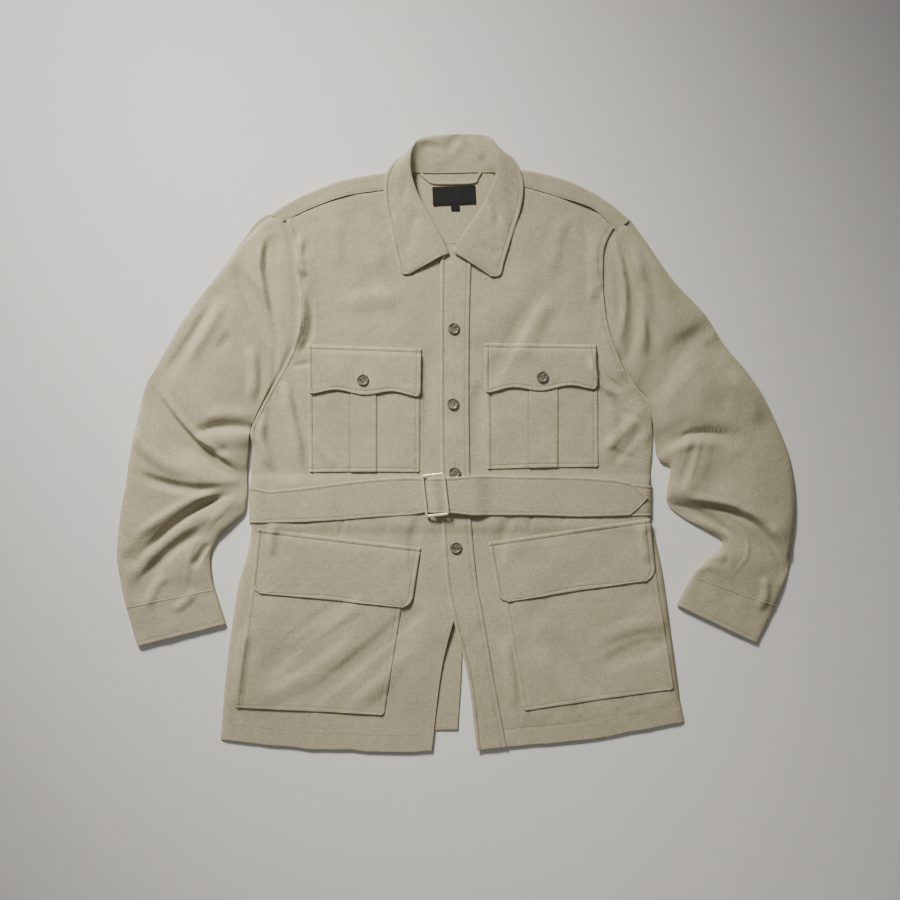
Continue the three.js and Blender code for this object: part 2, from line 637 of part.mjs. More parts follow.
function addPockets(jacket, material) {
  for (const [name, pocket] of Object.entries(POCKETS)) {
    const [topIn, topOut] = pocket.corners;
    const stops = evenStops(7);
    if (pocket.pleat) {
      for (const edge of pocket.pleat) {
        const centre = (pocket.pleat[0] + pocket.pleat[1]) / 2;
        const inside = edge + Math.sign(centre - edge) * PLEAT_EDGE;
        for (const x of [edge, inside]) stops.push((x - topIn[0]) / (topOut[0] - topIn[0]));
      }
      stops.sort((a, b) => a - b);
    }
    const point = (u, v) => {
      const [x, y] = patchPlan(pocket, u, v);
      return new THREE.Vector3(x, y, topHeight(x, y) + POCKET_TOP + pleatRise(pocket.pleat, x));
    };
    jacket.add(sheet(name, material, stops, [...evenStops(7).map((v) => v * 0.97), 1], point, CLOTH));
  }
  const flapRows = [0, 0.16, 0.35, 0.6, 0.82, 0.93, 0.98, 1];
  for (const [name, flap] of Object.entries(FLAPS)) {
    const point = (u, v) => {
      const [x, y] = patchPlan(flap, u, v);
      const offset = mix(ON_FRONT, flap.lift, smoothstep(v / 0.2)) + TURNED_CLOTH;
      return new THREE.Vector3(x, y, topHeight(x, y) + offset);
    };
    jacket.add(sheet(name, material, evenStops(11), flapRows, point, TURNED_CLOTH));
  }
}

// Buckle: a flat steel slide frame with a centre bar that the free end covers.
const BUCKLE = { x: -27, y: -67.8, width: 29, height: 54, wire: 2.8, bar: 2.4, thickness: 1.8, corner: 4 };
const BUCKLE_TILT = 6.6;                  // degrees, clockwise seen from above
const BUCKLE_RISE = 4.0 / 26;             // it leans up over the placket from left to right
const BUCKLE_OFFSET = 6.55;               // its middle above the front's outer face

// Belt. The free end comes round the wearer's right side, through the buckle and on to its
// pointed tip; the buckle end runs below it and round the left side; the back strap is on the floor.
const FREE_END = table(["x", "top", "bottom", "lift"], [
  [-268, -57, -104, ON_FRONT],
  [-244, -62, -104, ON_FRONT],
  [-200, -58, -103, ON_FRONT],
  [-147, -51, -100, ON_FRONT],
  [-100, -46, -96, ON_FRONT],
  [-62, -44, -94, ON_FRONT],
  [-44, -45, -90.6, 1.9],
  [-37.5, -45, -90.6, 1.9],
  [-29.5, -45, -90.6, 7.95],
  [-24.5, -45, -90.6, 7.95],
  [-18, -45, -90.6, 6.15],
  [-11, -45, -90.6, 6.15],
  [22, -42, -94, 6.15],
  [48, -42, -94, 2.5],
  [100, -43, -94, 2.5],
  [160, -44, -96, 2.5],
  [205, -47, -95, 2.5],
  [226, -51, -94, 2.5],
  [238, -61, -84, 2.5],
  [248, -70, -73, 2.5],
]);
const BUCKLE_END = table(["x", "top", "bottom", "lift"], [
  [-25.2, -46, -90, 4.35],
  [22, -44, -92, 4.35],
  [48, -44, -93, ON_FRONT],
  [120, -45, -94, ON_FRONT],
  [180, -47, -95, ON_FRONT],
  [226, -52, -95, ON_FRONT],
  [255, -56, -95, ON_FRONT],
]);
const SIDE_EDGE = { left: 253.6, right: -267.6 };   // body's side edges where the belt goes round

function strap(name, material, rows, stops, side) {
  const wrap = ON_FRONT + CLOTH + 0.2;
  const edgeX = SIDE_EDGE[side] + (side === "left" ? wrap : -wrap);
  const first = rows[0].x;
  const last = rows[rows.length - 1].x;
  const from = side === "right" ? edgeX : first;
  const to = side === "left" ? edgeX : last;
  const point = (u, v) => {
    const x = mix(from, to, u);
    const top = lookUp(rows, "x", "top", x);
    const bottom = lookUp(rows, "x", "bottom", x);
    const y = mix(top, bottom, v);
    const height = topHeight(x, (top + bottom) / 2) + lookUp(rows, "x", "lift", x) + CLOTH;
    const slant = Math.tan(THREE.MathUtils.degToRad(BUCKLE_TILT)) * (y - BUCKLE.y)
      * smoothstep(1 - (Math.abs(x - BUCKLE.x) - 18) / 30);
    return new THREE.Vector3(x - slant, y, height * rolled(Math.abs(edgeX - x), SIDE_ROLL + wrap));
  };
  return sheet(name, material, stops(from, to), evenStops(3), point, CLOTH);
}

// Stops along a strap: even steps with the table's own stations and close ones at the rolled edge.
function strapStops(rows, side) {
  return (from, to) => {
    const places = rows.map((row) => row.x);
    const steps = Math.round((to - from) / 24);
    for (let i = 0; i <= steps; i += 1) places.push(mix(from, to, i / steps));
    for (const inside of [0, 0.6, 2, 5, 9]) places.push(side === "left" ? to - inside : from + inside);
    places.sort((a, b) => a - b);
    const kept = places.filter((x, i) => x >= from && x <= to && (i === 0 || x - places[i - 1] > 0.5));
    return kept.map((x) => (x - from) / (to - from));
  };
}

function addBelt(jacket, material) {
  jacket.add(strap("belt_free_end", material, FREE_END, strapStops(FREE_END, "right"), "right"));
  jacket.add(strap("belt_buckle_end", material, BUCKLE_END, strapStops(BUCKLE_END, "left"), "left"));
  const inset = ON_FRONT + 0.2 - SEAM_GAP;
  const back = (u, v) => new THREE.Vector3(
    mix(SIDE_EDGE.right - inset, SIDE_EDGE.left + inset, u),
    mix(BELT_Y + BELT_WIDTH / 2, BELT_Y - BELT_WIDTH / 2, v),
    CLOTH,
  );
  jacket.add(sheet("belt_back", material, evenStops(8), evenStops(2), back, CLOTH));
}

function roundedRectangle(target, x, y, width, height, radius) {
  const steps = 3;
  const centres = [[1, 1, 0], [-1, 1, 90], [-1, -1, 180], [1, -1, 270]];
  const points = [];
  for (const [sx, sy, start] of centres) {
    for (let k = 0; k <= steps; k += 1) {
      const angle = THREE.MathUtils.degToRad(start + 90 * k / steps);
      points.push(new THREE.Vector2(
        x + sx * (width / 2 - radius) + radius * Math.cos(angle),
        y + sy * (height / 2 - radius) + radius * Math.sin(angle),
      ));
    }
  }
  return target.setFromPoints(points);
}

function addBuckle(jacket, material) {
  const { width, height, wire, bar, thickness, corner } = BUCKLE;
  const shape = roundedRectangle(new THREE.Shape(), 0, 0, width, height, corner);
  const window = (width - 2 * wire - bar) / 2;
  for (const side of [-1, 1]) {
    const hole = roundedRectangle(new THREE.Path(), side * (bar + window) / 2, 0, window, height - 2 * wire, 1.5);
    shape.holes.push(hole);
  }
  const bevel = 0.4;
  const geometry = new THREE.ExtrudeGeometry(shape, {
    depth: thickness - 2 * bevel, bevelEnabled: true, bevelThickness: bevel, bevelSize: bevel,
    bevelOffset: -bevel, bevelSegments: 1, steps: 1,
  });
  geometry.translate(0, 0, bevel - thickness / 2);
  const mesh = named("buckle", geometry, material);
  mesh.rotation.set(0, -Math.atan(BUCKLE_RISE), THREE.MathUtils.degToRad(BUCKLE_TILT), "ZYX");
  mesh.position.set(BUCKLE.x, BUCKLE.y, topHeight(BUCKLE.x, BUCKLE.y) + BUCKLE_OFFSET);
  jacket.add(mesh);
}

// Buttons: dished discs. under is what lies between the front's outer face and the button.
const BUTTONS = table(["name", "x", "y", "under"], [
  ["button_front_1", -3, 149, PLACKET_TOP],
  ["button_front_2", -4, 51, PLACKET_TOP],
  ["button_front_3", -2, -38.5, PLACKET_TOP],
  ["button_front_4", 0, -136, PLACKET_TOP],
  ["button_flap_right", -121, 82, FLAPS.chest_flap_right.lift + TURNED_CLOTH],
  ["button_flap_left", 112, 86, FLAPS.chest_flap_left.lift + TURNED_CLOTH],
]);
const BUTTON = { radius: 7.6, thickness: 1.9, dish: 0.5, gap: 0.2 };

function addButtons(jacket, material) {
  const { radius, thickness, dish, gap } = BUTTON;
  const profile = [
    [0, 0], [radius * 0.8, 0], [radius, thickness * 0.45], [radius * 0.93, thickness],
    [radius * 0.76, thickness], [radius * 0.62, thickness - dish], [0, thickness - dish],
  ].map(([r, z]) => new THREE.Vector2(r, z));
  for (const button of BUTTONS) {
    const geometry = new THREE.LatheGeometry(profile, 14);
    geometry.rotateX(Math.PI / 2);
    const mesh = named(button.name, geometry, material);
    const rest = Math.max(...[-radius, 0, radius].map((dy) => topHeight(button.x, button.y + dy)));
    mesh.position.set(button.x, button.y, rest + button.under + gap);
    jacket.add(mesh);
  }
}

// Inside the neck: hanger loop, bare label and its small tab, all on the yoke.
const LOOP = table(["x", "y"], [[-46, 351], [-38, 344], [-28, 339], [-4, 338.5], [23, 340], [28, 346], [32, 353]]);
const LOOP_WIDTH = 4;
const LABEL = { x: -2.5, y: 322.5, width: 56, height: 24.5, tilt: 2.6, thickness: 1 };
const TAB = { x: -1, y: 306, width: 11, height: 7, tilt: 2.6, thickness: 1 };

function addNeckTrim(jacket, cloth, dark) {
  const base = CLOTH + SEAM_GAP;
  const loopPoint = (u, v) => {
    const x = along(LOOP, "x", u);
    const y = along(LOOP, "y", u);
    const ahead = new THREE.Vector2(along(LOOP, "x", u + 0.01) - along(LOOP, "x", u - 0.01),
      along(LOOP, "y", u + 0.01) - along(LOOP, "y", u - 0.01)).normalize();
    const off = (0.5 - v) * LOOP_WIDTH;
    return new THREE.Vector3(x - ahead.y * off, y + ahead.x * off, base + TURNED_CLOTH);
  };
  jacket.add(sheet("hanger_loop", cloth, evenStops(18), [0, 1], loopPoint, TURNED_CLOTH));
  for (const [name, size] of [["label", LABEL], ["label_tab", TAB]]) {
    const mesh = named(name, new THREE.BoxGeometry(size.width, size.height, size.thickness), dark);
    mesh.position.set(size.x, size.y, base + size.thickness / 2);
    mesh.rotation.z = THREE.MathUtils.degToRad(size.tilt);
    jacket.add(mesh);
  }
}

const cloth = finish(COLOURS.cloth);
const horn = finish(COLOURS.horn, 0.45);
const steel = finish(COLOURS.steel, 0.22, 1);
const dark = finish(COLOURS.label, 0.85);

const jacket = new THREE.Group();
jacket.name = "safari_jacket";
addBacks(jacket, cloth);
addYoke(jacket, cloth);
addFronts(jacket, cloth);
addSleeves(jacket, cloth);
addCollar(jacket, cloth);
addPlacket(jacket, cloth);
addPockets(jacket, cloth);
addBelt(jacket, cloth);
addBuckle(jacket, steel);
addButtons(jacket, horn);
addNeckTrim(jacket, cloth, dark);

export default jacket;
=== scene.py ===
# %% [markdown]
# # A safari jacket laid flat
# The jacket lies on its back, buttoned and belted, and the camera looks straight down on it.
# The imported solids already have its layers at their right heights. This lesson dresses each of
# them: every panel is worked out again as a finer surface with its seams, stitches and creases.

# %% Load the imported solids
import math

import bpy
import numpy as np
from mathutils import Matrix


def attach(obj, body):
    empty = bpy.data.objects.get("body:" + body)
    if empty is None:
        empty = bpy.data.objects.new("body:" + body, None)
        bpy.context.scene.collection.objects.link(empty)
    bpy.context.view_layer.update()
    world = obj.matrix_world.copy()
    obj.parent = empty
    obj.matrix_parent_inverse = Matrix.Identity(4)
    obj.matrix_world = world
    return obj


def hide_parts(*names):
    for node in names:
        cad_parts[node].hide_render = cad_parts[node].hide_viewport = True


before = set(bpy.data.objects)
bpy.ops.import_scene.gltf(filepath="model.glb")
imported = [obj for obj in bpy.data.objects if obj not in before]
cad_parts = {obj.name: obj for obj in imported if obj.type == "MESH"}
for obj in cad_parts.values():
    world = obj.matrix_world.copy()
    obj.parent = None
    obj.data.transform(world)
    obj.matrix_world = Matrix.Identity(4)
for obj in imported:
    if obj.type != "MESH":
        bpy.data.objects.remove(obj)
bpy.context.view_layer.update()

MM = 0.001

# %% [markdown]
# ## Camera, light and floor
# The photograph was taken from straight above, so the camera looks down and its frame is 1.17 m
# wide at the cloth. A low lamp beyond the collar, a little to the left, is what draws the folds:
# most of them run down the sleeves' slant, so light from the side would run along them. A weaker
# sky and an overhead panel fill the shadows, and the floor is plain and pale.

# %% Camera
FRAME_CENTRE = (-7.8, -9.1)     # mm, what the middle of the photograph looks at
FRAME_WIDTH = 1170.0            # mm across the frame at the cloth
CLOTH_LEVEL = 6.0               # mm, height of the cloth that was measured

camera_data = bpy.data.cameras.new("camera")
camera_data.lens = 50
camera_data.sensor_width = 36
camera = bpy.data.objects.new("camera", camera_data)
bpy.context.scene.collection.objects.link(camera)
camera_height = FRAME_WIDTH * camera_data.lens / camera_data.sensor_width + CLOTH_LEVEL
camera.location = (FRAME_CENTRE[0] * MM, FRAME_CENTRE[1] * MM, camera_height * MM)
bpy.context.scene.camera = camera
print("camera height in mm:", round(camera_height))


# %% Light
def area_light(name, place, aim, size, power, colour):
    """A square lamp at place that faces aim."""
    data = bpy.data.lights.new(name, "AREA")
    data.size = size
    data.energy = power
    data.color = colour
    lamp = bpy.data.objects.new(name, data)
    lamp.location = place
    heading = np.array(aim, float) - np.array(place, float)
    flat_length = math.hypot(heading[0], heading[1])
    tilt = math.atan2(flat_length, -heading[2])
    lamp.rotation_euler = (tilt, 0, math.atan2(heading[1], heading[0]) - math.pi / 2)
    bpy.context.scene.collection.objects.link(lamp)
    return lamp


def soft_spot(name, place, aim, radius, cone, power, colour):
    """A large round lamp at place that faces aim; its light fades out smoothly to the edge of its cone."""
    lamp = area_light(name, place, aim, 1.0, power, colour)
    data = bpy.data.lights.new(name, "SPOT")
    data.shadow_soft_size = radius
    data.spot_size = math.radians(cone)
    data.spot_blend = 1.0
    data.energy = power
    data.color = colour
    lamp.data = data
    return lamp


soft_spot("lamp_top", (-1.30, 2.36, 1.62), (-0.20, 0.12, 0), 0.42, 31, 850, (1.0, 0.975, 0.93))
area_light("lamp_fill", (-0.6, -0.6, 2.6), (0.0, 0.0, 0), 2.2, 4, (0.97, 0.98, 1.0))
world = bpy.data.worlds.new("sky")
world.use_nodes = True
world.node_tree.nodes["Background"].inputs["Color"].default_value = (0.92, 0.93, 0.95, 1)
world.node_tree.nodes["Background"].inputs["Strength"].default_value = 0.14
bpy.context.scene.world = world

# %% [markdown]
# ## Materials
# The cloth is a light khaki cotton with a slubby yarn: thick and thin places make it look mottled.
# An image could carry that, but a pattern built from noise has no size limit and no seams. The
# noise is stretched along both yarn directions of each panel's own map, which follows the grain.


# %% Node helpers
def new_material(name):
    """An empty node material with its output, and a Principled shader joined to it."""
    made = bpy.data.materials.new(name)
    made.use_nodes = True
    nodes = made.node_tree.nodes
    nodes.clear()
    shader = nodes.new("ShaderNodeBsdfPrincipled")
    output = nodes.new("ShaderNodeOutputMaterial")
    made.node_tree.links.new(shader.outputs["BSDF"], output.inputs["Surface"])
    return made, shader


def add_node(made, kind, inputs=None, **settings):
    """A node with its settings and its inputs, which are numbers or other nodes' outputs."""
    node = made.node_tree.nodes.new(kind)
    for key, value in settings.items():
        setattr(node, key, value)
    for key, value in (inputs or {}).items():
        if isinstance(value, bpy.types.NodeSocket):
            made.node_tree.links.new(value, node.inputs[key])
        else:
            node.inputs[key].default_value = value
    return node


def streaks(made, source, scale, detail=2.0):
    """Noise stretched by scale, in spots per metre across and along the map."""
    mapping = add_node(made, "ShaderNodeMapping", {"Vector": source, "Scale": (*scale, 1.0)})
    return add_node(
        made, "ShaderNodeTexNoise",
        {"Vector": mapping.outputs["Vector"], "Scale": 1.0, "Detail": detail, "Roughness": 0.6},
        noise_dimensions="2D",
    ).outputs["Fac"]


def weigh(made, first, second, share):
    """Two patterns mixed, share of the second."""
    mixed = add_node(made, "ShaderNodeMix", data_type="FLOAT")
    mixed.inputs[0].default_value = share
    made.node_tree.links.new(first, mixed.inputs[2])
    made.node_tree.links.new(second, mixed.inputs[3])
    return mixed.outputs[0]


def tinted(made, colour, tint, share):
    """A colour mixed with a fixed tint by a pattern."""
    mixed = add_node(made, "ShaderNodeMix", data_type="RGBA", clamp_factor=True)
    mixed.inputs[7].default_value = tint
    made.node_tree.links.new(share, mixed.inputs[0])
    made.node_tree.links.new(colour, mixed.inputs[6])
    return mixed.outputs[2]


# %% Cloth
CLOTH_LIGHT = (0.520, 0.470, 0.312, 1)
CLOTH_DARK = (0.330, 0.296, 0.186, 1)


def cloth_material(name, light=CLOTH_LIGHT, dark=CLOTH_DARK, bump=0.75):
    """Slubby plain weave: two stretched noises for the yarns, broad mottling, fine bands for the weave.
    The point attribute lightens edges where it is above 0, partly rubbed wear and partly a painted highlight on
    the raised welts; where it is below 0 it darkens stitched grooves and pleat edges with painted shade."""
    made, shader = new_material(name)
    grain = add_node(made, "ShaderNodeUVMap", uv_map="grain").outputs["UV"]
    warp = streaks(made, grain, (1000, 95))
    weft = streaks(made, grain, (90, 900))
    yarns = weigh(made, warp, weft, 0.5)
    mottle = streaks(made, grain, (420, 330), 3.0)
    broad = streaks(made, grain, (14, 11), 3.0)
    pattern = weigh(made, weigh(made, yarns, mottle, 0.4), broad, 0.14)
    ramp = add_node(made, "ShaderNodeValToRGB", {"Fac": pattern})
    ramp.color_ramp.elements[0].position = 0.36
    ramp.color_ramp.elements[0].color = dark
    ramp.color_ramp.elements[1].position = 0.64
    ramp.color_ramp.elements[1].color = light
    wear_and_painted_light = add_node(made, "ShaderNodeAttribute", attribute_name="wear_and_painted_light").outputs["Fac"]
    # Below 0 the attribute mixes in a painted shade colour; above 0 a lighter colour stands for rubbed wear and
    # a painted highlight together.
    below = add_node(made, "ShaderNodeMath", {0: wear_and_painted_light, 1: -1.0}, operation="MULTIPLY", use_clamp=True)
    groove = below.outputs[0]
    rub_and_painted_light = tinted(made, ramp.outputs["Color"], tuple(c * 1.25 for c in light[:3]) + (1,), wear_and_painted_light)
    colour = tinted(made, rub_and_painted_light, tuple(c * 0.55 for c in dark[:3]) + (1,), groove)
    made.node_tree.links.new(colour, shader.inputs["Base Color"])
    bands = [
        add_node(
            made, "ShaderNodeTexWave",
            {"Vector": grain, "Scale": 210.0, "Distortion": 1.5, "Detail": 1.0},
            bands_direction=direction,
        ).outputs["Fac"]
        for direction in ("X", "Y")
    ]
    weave = weigh(made, weigh(made, bands[0], bands[1], 0.5), yarns, 0.6)
    relief = add_node(made, "ShaderNodeBump", {"Strength": bump, "Distance": 0.0005, "Height": weave})
    made.node_tree.links.new(relief.outputs["Normal"], shader.inputs["Normal"])
    shader.inputs["Roughness"].default_value = 0.82
    shader.inputs["Specular IOR Level"].default_value = 0.25
    shader.inputs["Sheen Weight"].default_value = 0.18
    shader.inputs["Sheen Roughness"].default_value = 0.45
    shader.inputs["Sheen Tint"].default_value = (1.0, 0.96, 0.86, 1)
    return made


cloth = cloth_material("khaki_cloth")
neck_tape = cloth_material("dark_tape", (0.020, 0.019, 0.018, 1), (0.008, 0.008, 0.008, 1), 0.9)
thread = cloth_material("khaki_thread", (0.52, 0.475, 0.36, 1), (0.42, 0.38, 0.28, 1), 0.3)
print("cloth materials:", cloth.name, neck_tape.name, thread.name)


# %% Horn, steel and floor
def stretched_noise(made, scale, detail):
    """Noise in a piece's own space, in spots per metre along its three axes."""
    place = add_node(made, "ShaderNodeTexCoord").outputs["Object"]
    mapping = add_node(made, "ShaderNodeMapping", {"Vector": place, "Scale": scale})
    inputs = {"Vector": mapping.outputs["Vector"], "Scale": 1.0, "Detail": detail}
    return add_node(made, "ShaderNodeTexNoise", inputs).outputs["Fac"]


def horn_material():
    """Grey-brown horn: long soft streaks between a light and a dark tone, under a low polish."""
    made, shader = new_material("streaked_horn")
    ramp = add_node(made, "ShaderNodeValToRGB", {"Fac": stretched_noise(made, (160, 420, 200), 5.0)})
    ramp.color_ramp.elements[0].position = 0.32
    ramp.color_ramp.elements[0].color = (0.060, 0.049, 0.034, 1)
    ramp.color_ramp.elements[1].position = 0.68
    ramp.color_ramp.elements[1].color = (0.270, 0.235, 0.170, 1)
    made.node_tree.links.new(ramp.outputs["Color"], shader.inputs["Base Color"])
    shader.inputs["Roughness"].default_value = 0.34
    shader.inputs["Coat Weight"].default_value = 0.25
    return made


def steel_material():
    """Plated steel: mostly metallic, with some plain diffuse so that it stays bright under a dim sky."""
    made, shader = new_material("plated_steel")
    brushed = stretched_noise(made, (900, 3000, 900), 3.0)
    rough = add_node(made, "ShaderNodeMapRange", {"Value": brushed, "To Min": 0.30, "To Max": 0.42})
    relief = add_node(made, "ShaderNodeBump", {"Strength": 0.08, "Distance": 0.0001, "Height": brushed})
    made.node_tree.links.new(rough.outputs["Result"], shader.inputs["Roughness"])
    made.node_tree.links.new(relief.outputs["Normal"], shader.inputs["Normal"])
    shader.inputs["Base Color"].default_value = (1.0, 0.89, 0.68, 1)
    shader.inputs["Metallic"].default_value = 0.75
    return made


def floor_material():
    """Plain pale floor with a trace of mottling."""
    made, shader = new_material("pale_floor")
    place = add_node(made, "ShaderNodeTexCoord").outputs["Object"]
    noise = add_node(made, "ShaderNodeTexNoise", {"Vector": place, "Scale": 40.0, "Detail": 4.0})
    ramp = add_node(made, "ShaderNodeValToRGB", {"Fac": noise.outputs["Fac"]})
    ramp.color_ramp.elements[0].color = (0.80, 0.775, 0.735, 1)
    ramp.color_ramp.elements[1].color = (0.84, 0.815, 0.775, 1)
    made.node_tree.links.new(ramp.outputs["Color"], shader.inputs["Base Color"])
    shader.inputs["Roughness"].default_value = 0.9
    return made


horn = horn_material()
steel = steel_material()
FLOOR_REACH = 4.0           # m from the middle to every side
FLOOR_LEVEL = -0.0006       # m, just under the cloth
CORNER_SIGNS = ((-1, -1), (1, -1), (1, 1), (-1, 1))
floor_corners = [(x * FLOOR_REACH, y * FLOOR_REACH, FLOOR_LEVEL) for x, y in CORNER_SIGNS]
floor_mesh = bpy.data.meshes.new("floor")
floor_mesh.from_pydata(floor_corners, [], [(0, 1, 2, 3)])
floor = bpy.data.objects.new("floor", floor_mesh)
floor.data.materials.append(floor_material())
bpy.context.scene.collection.objects.link(floor)
print("floor at", floor_mesh.vertices[0].co.z, "m")

# %% [markdown]
# ## The way a panel is made
# Each panel is a grid of points from a function of two parameters, one across and one down. The
# height of the garment's top layer is one function of the plan, and every piece that lies on it
# adds its own offset. Sculpting by hand would show the same folds, but then pockets, flaps and
# belt could not follow them, and the layers would cut through each other.


# %% Curves through tables
def table(columns, rows):
    """The columns of a short table as named arrays."""
    return dict(zip(columns.split(), np.array(rows, float).T))


def clamp01(value):
    """The value held between 0 and 1."""
    return np.clip(value, 0.0, 1.0)


def mix(a, b, t):
    """a where t is 0, b where it is 1."""
    return a + (b - a) * t


def smoothstep(value):
    """3v^2 - 2v^3, held between 0 and 1."""
    held = clamp01(value)
    return held ** 2 * (3 - 2 * held)


def along(values, t):
    """Smooth curve through evenly spaced values: a cubic in each gap, its end slopes half the step
    over two gaps."""
    last = len(values) - 1
    place = clamp01(t) * last
    i = np.minimum(last - 1, np.floor(place).astype(int))
    f = place - i

    def at(k):
        return values[np.clip(k, 0, last)]

    slope_in = (at(i + 1) - at(i - 1)) / np.where(i == 0, 1, 2)
    slope_out = (at(i + 2) - at(i)) / np.where(i == last - 1, 1, 2)
    return ((2 * f ** 3 - 3 * f ** 2 + 1) * at(i) + (f ** 3 - 2 * f ** 2 + f) * slope_in
            + (3 * f ** 2 - 2 * f ** 3) * at(i + 1) + (f ** 3 - f ** 2) * slope_out)


def eased_lookup(keys, values, x):
    """Values read at x between rising keys, easing in and out of every row."""
    i = np.clip(np.searchsorted(keys, x) - 1, 0, len(keys) - 2)
    f = (x - keys[i]) / (keys[i + 1] - keys[i])
    return mix(values[i], values[i + 1], smoothstep(f))


def rolled(distance, width):
    """Quarter circle: 0 at an edge, 1 from the width inwards."""
    return np.sqrt(np.maximum(0.0, 1 - (1 - clamp01(distance / width)) ** 2))


# %% Levels in mm
CLOTH = 1.2
TURNED_CLOTH = 1.5
LAYER_GAP = 0.7
LOFT = 4.8
LOWEST_TOP = 3.0
HEM_HEIGHT = 3.2
SIDE_ROLL = 12.0
SLEEVE_ROLL = 9.0
YOKE_SEAM_Y = 260.0
BELT_Y = -79.0
BELT_WIDTH = 50.0
BELT_RISE = CLOTH + LAYER_GAP
# What lies on a panel is a thinner shell here than its solid, so its edges look like cloth's.
SHELL = 0.8
TURNED_SHELL = 1.1
SHELL_GAP = 0.3
PLACKET_TOP = SHELL_GAP + TURNED_SHELL
POCKET_TOP = SHELL_GAP + SHELL
PLEAT_RISE = 1.0
print("pocket face above the front:", POCKET_TOP, "mm")

# %% [markdown]
# ## Folds and creases
# The large folds are the ones that shape the solids too. On top of them come the finer creases of the
# photograph: each is a short curved ridge or trough with its own length, height and two widths,
# because pressed and slept-in cloth is steep on one side of a fold and slow on the other.

# %% Large folds
FOLDS = table("x1 y1 xm ym x2 y2 reach height", [
    # wearer's right sleeve, from the shoulder down
    [-252, 262, -256, 215, -238, 160, 20, 2.2],
    [-236, 262, -242, 235, -234, 170, 13, -1.8],
    [-282, 221, -262, 185, -240, 150, 16, -2.4],
    [-315, 188, -362, 117, -397, 77, 28, -2.4],
    [-330, 150, -300, 90, -320, 45, 45, 2.0],
    [-397, 75, -350, -3, -279, -47, 26, -4.4],
    [-415, 25, -370, -35, -300, -62, 30, 2.2],
    [-332, 4, -300, 6, -272, 6, 16, 2.4],
    [-281, -63, -348, -95, -420, -151, 18, -3.0],
    [-329, -114, -374, -144, -411, -192, 24, -3.4],
    [-290, -78, -353, -110, -400, -144, 14, 1.6],
    # wearer's left sleeve, from the shoulder down
    [232, 230, 240, 180, 238, 130, 14, 1.8],
    [262, 225, 285, 170, 300, 140, 34, 2.2],
    [240, 205, 250, 158, 259, 118, 15, -2.4],
    [259, 79, 290, 123, 334, 126, 30, -3.6],
    [300, 60, 345, 85, 390, 60, 40, 2.0],
    [262, -3, 300, 19, 360, 6, 20, -3.2],
    [308, 0, 306, -30, 299, -58, 16, 2.4],
    [339, -5, 342, -30, 335, -58, 34, -2.0],
    [290, -62, 360, -72, 415, -110, 26, 2.4],
    [277, -84, 361, -99, 422, -165, 22, -4.4],
    [350, -145, 385, -168, 400, -200, 30, 2.0],
    # body
    [187, 255, 191, 190, 212, 95, 22, 2.4],
    [-198, 235, -192, 180, -202, 135, 18, 2.6],
    [-234, 60, -239, 5, -215, -40, 16, -2.0],
    [236, 40, 226, 15, 215, -15, 22, 1.4],
    [95, 215, 70, 180, 40, 150, 34, 1.4],
    [-110, 250, -85, 210, -60, 170, 40, 1.2],
    [-245, -215, -255, -270, -265, -330, 34, 1.6],
    [-40, -225, -50, -280, -60, -330, 34, 1.6],
    [110, -250, 107, -300, 104, -350, 36, 1.0],
    [285, -300, 274, -260, 262, -220, 28, 1.4],
])


def distance_to_segment(x, y, x1, y1, x2, y2):
    """Distance from points to the nearest point of a straight piece."""
    dx, dy = x2 - x1, y2 - y1
    t = clamp01(((x - x1) * dx + (y - y1) * dy) / (dx * dx + dy * dy))
    return np.hypot(x - x1 - t * dx, y - y1 - t * dy)


def fold_height(x, y):
    """Sum of the folds: each is highest on its bent line and eases to nothing at its reach."""
    total = np.zeros_like(x)
    for x1, y1, xm, ym, x2, y2, reach, height in zip(*FOLDS.values()):
        first, second = (x1, y1, xm, ym), (xm, ym, x2, y2)
        away = np.minimum(distance_to_segment(x, y, *first), distance_to_segment(x, y, *second))
        total += height * smoothstep(1 - away / reach)
    return total


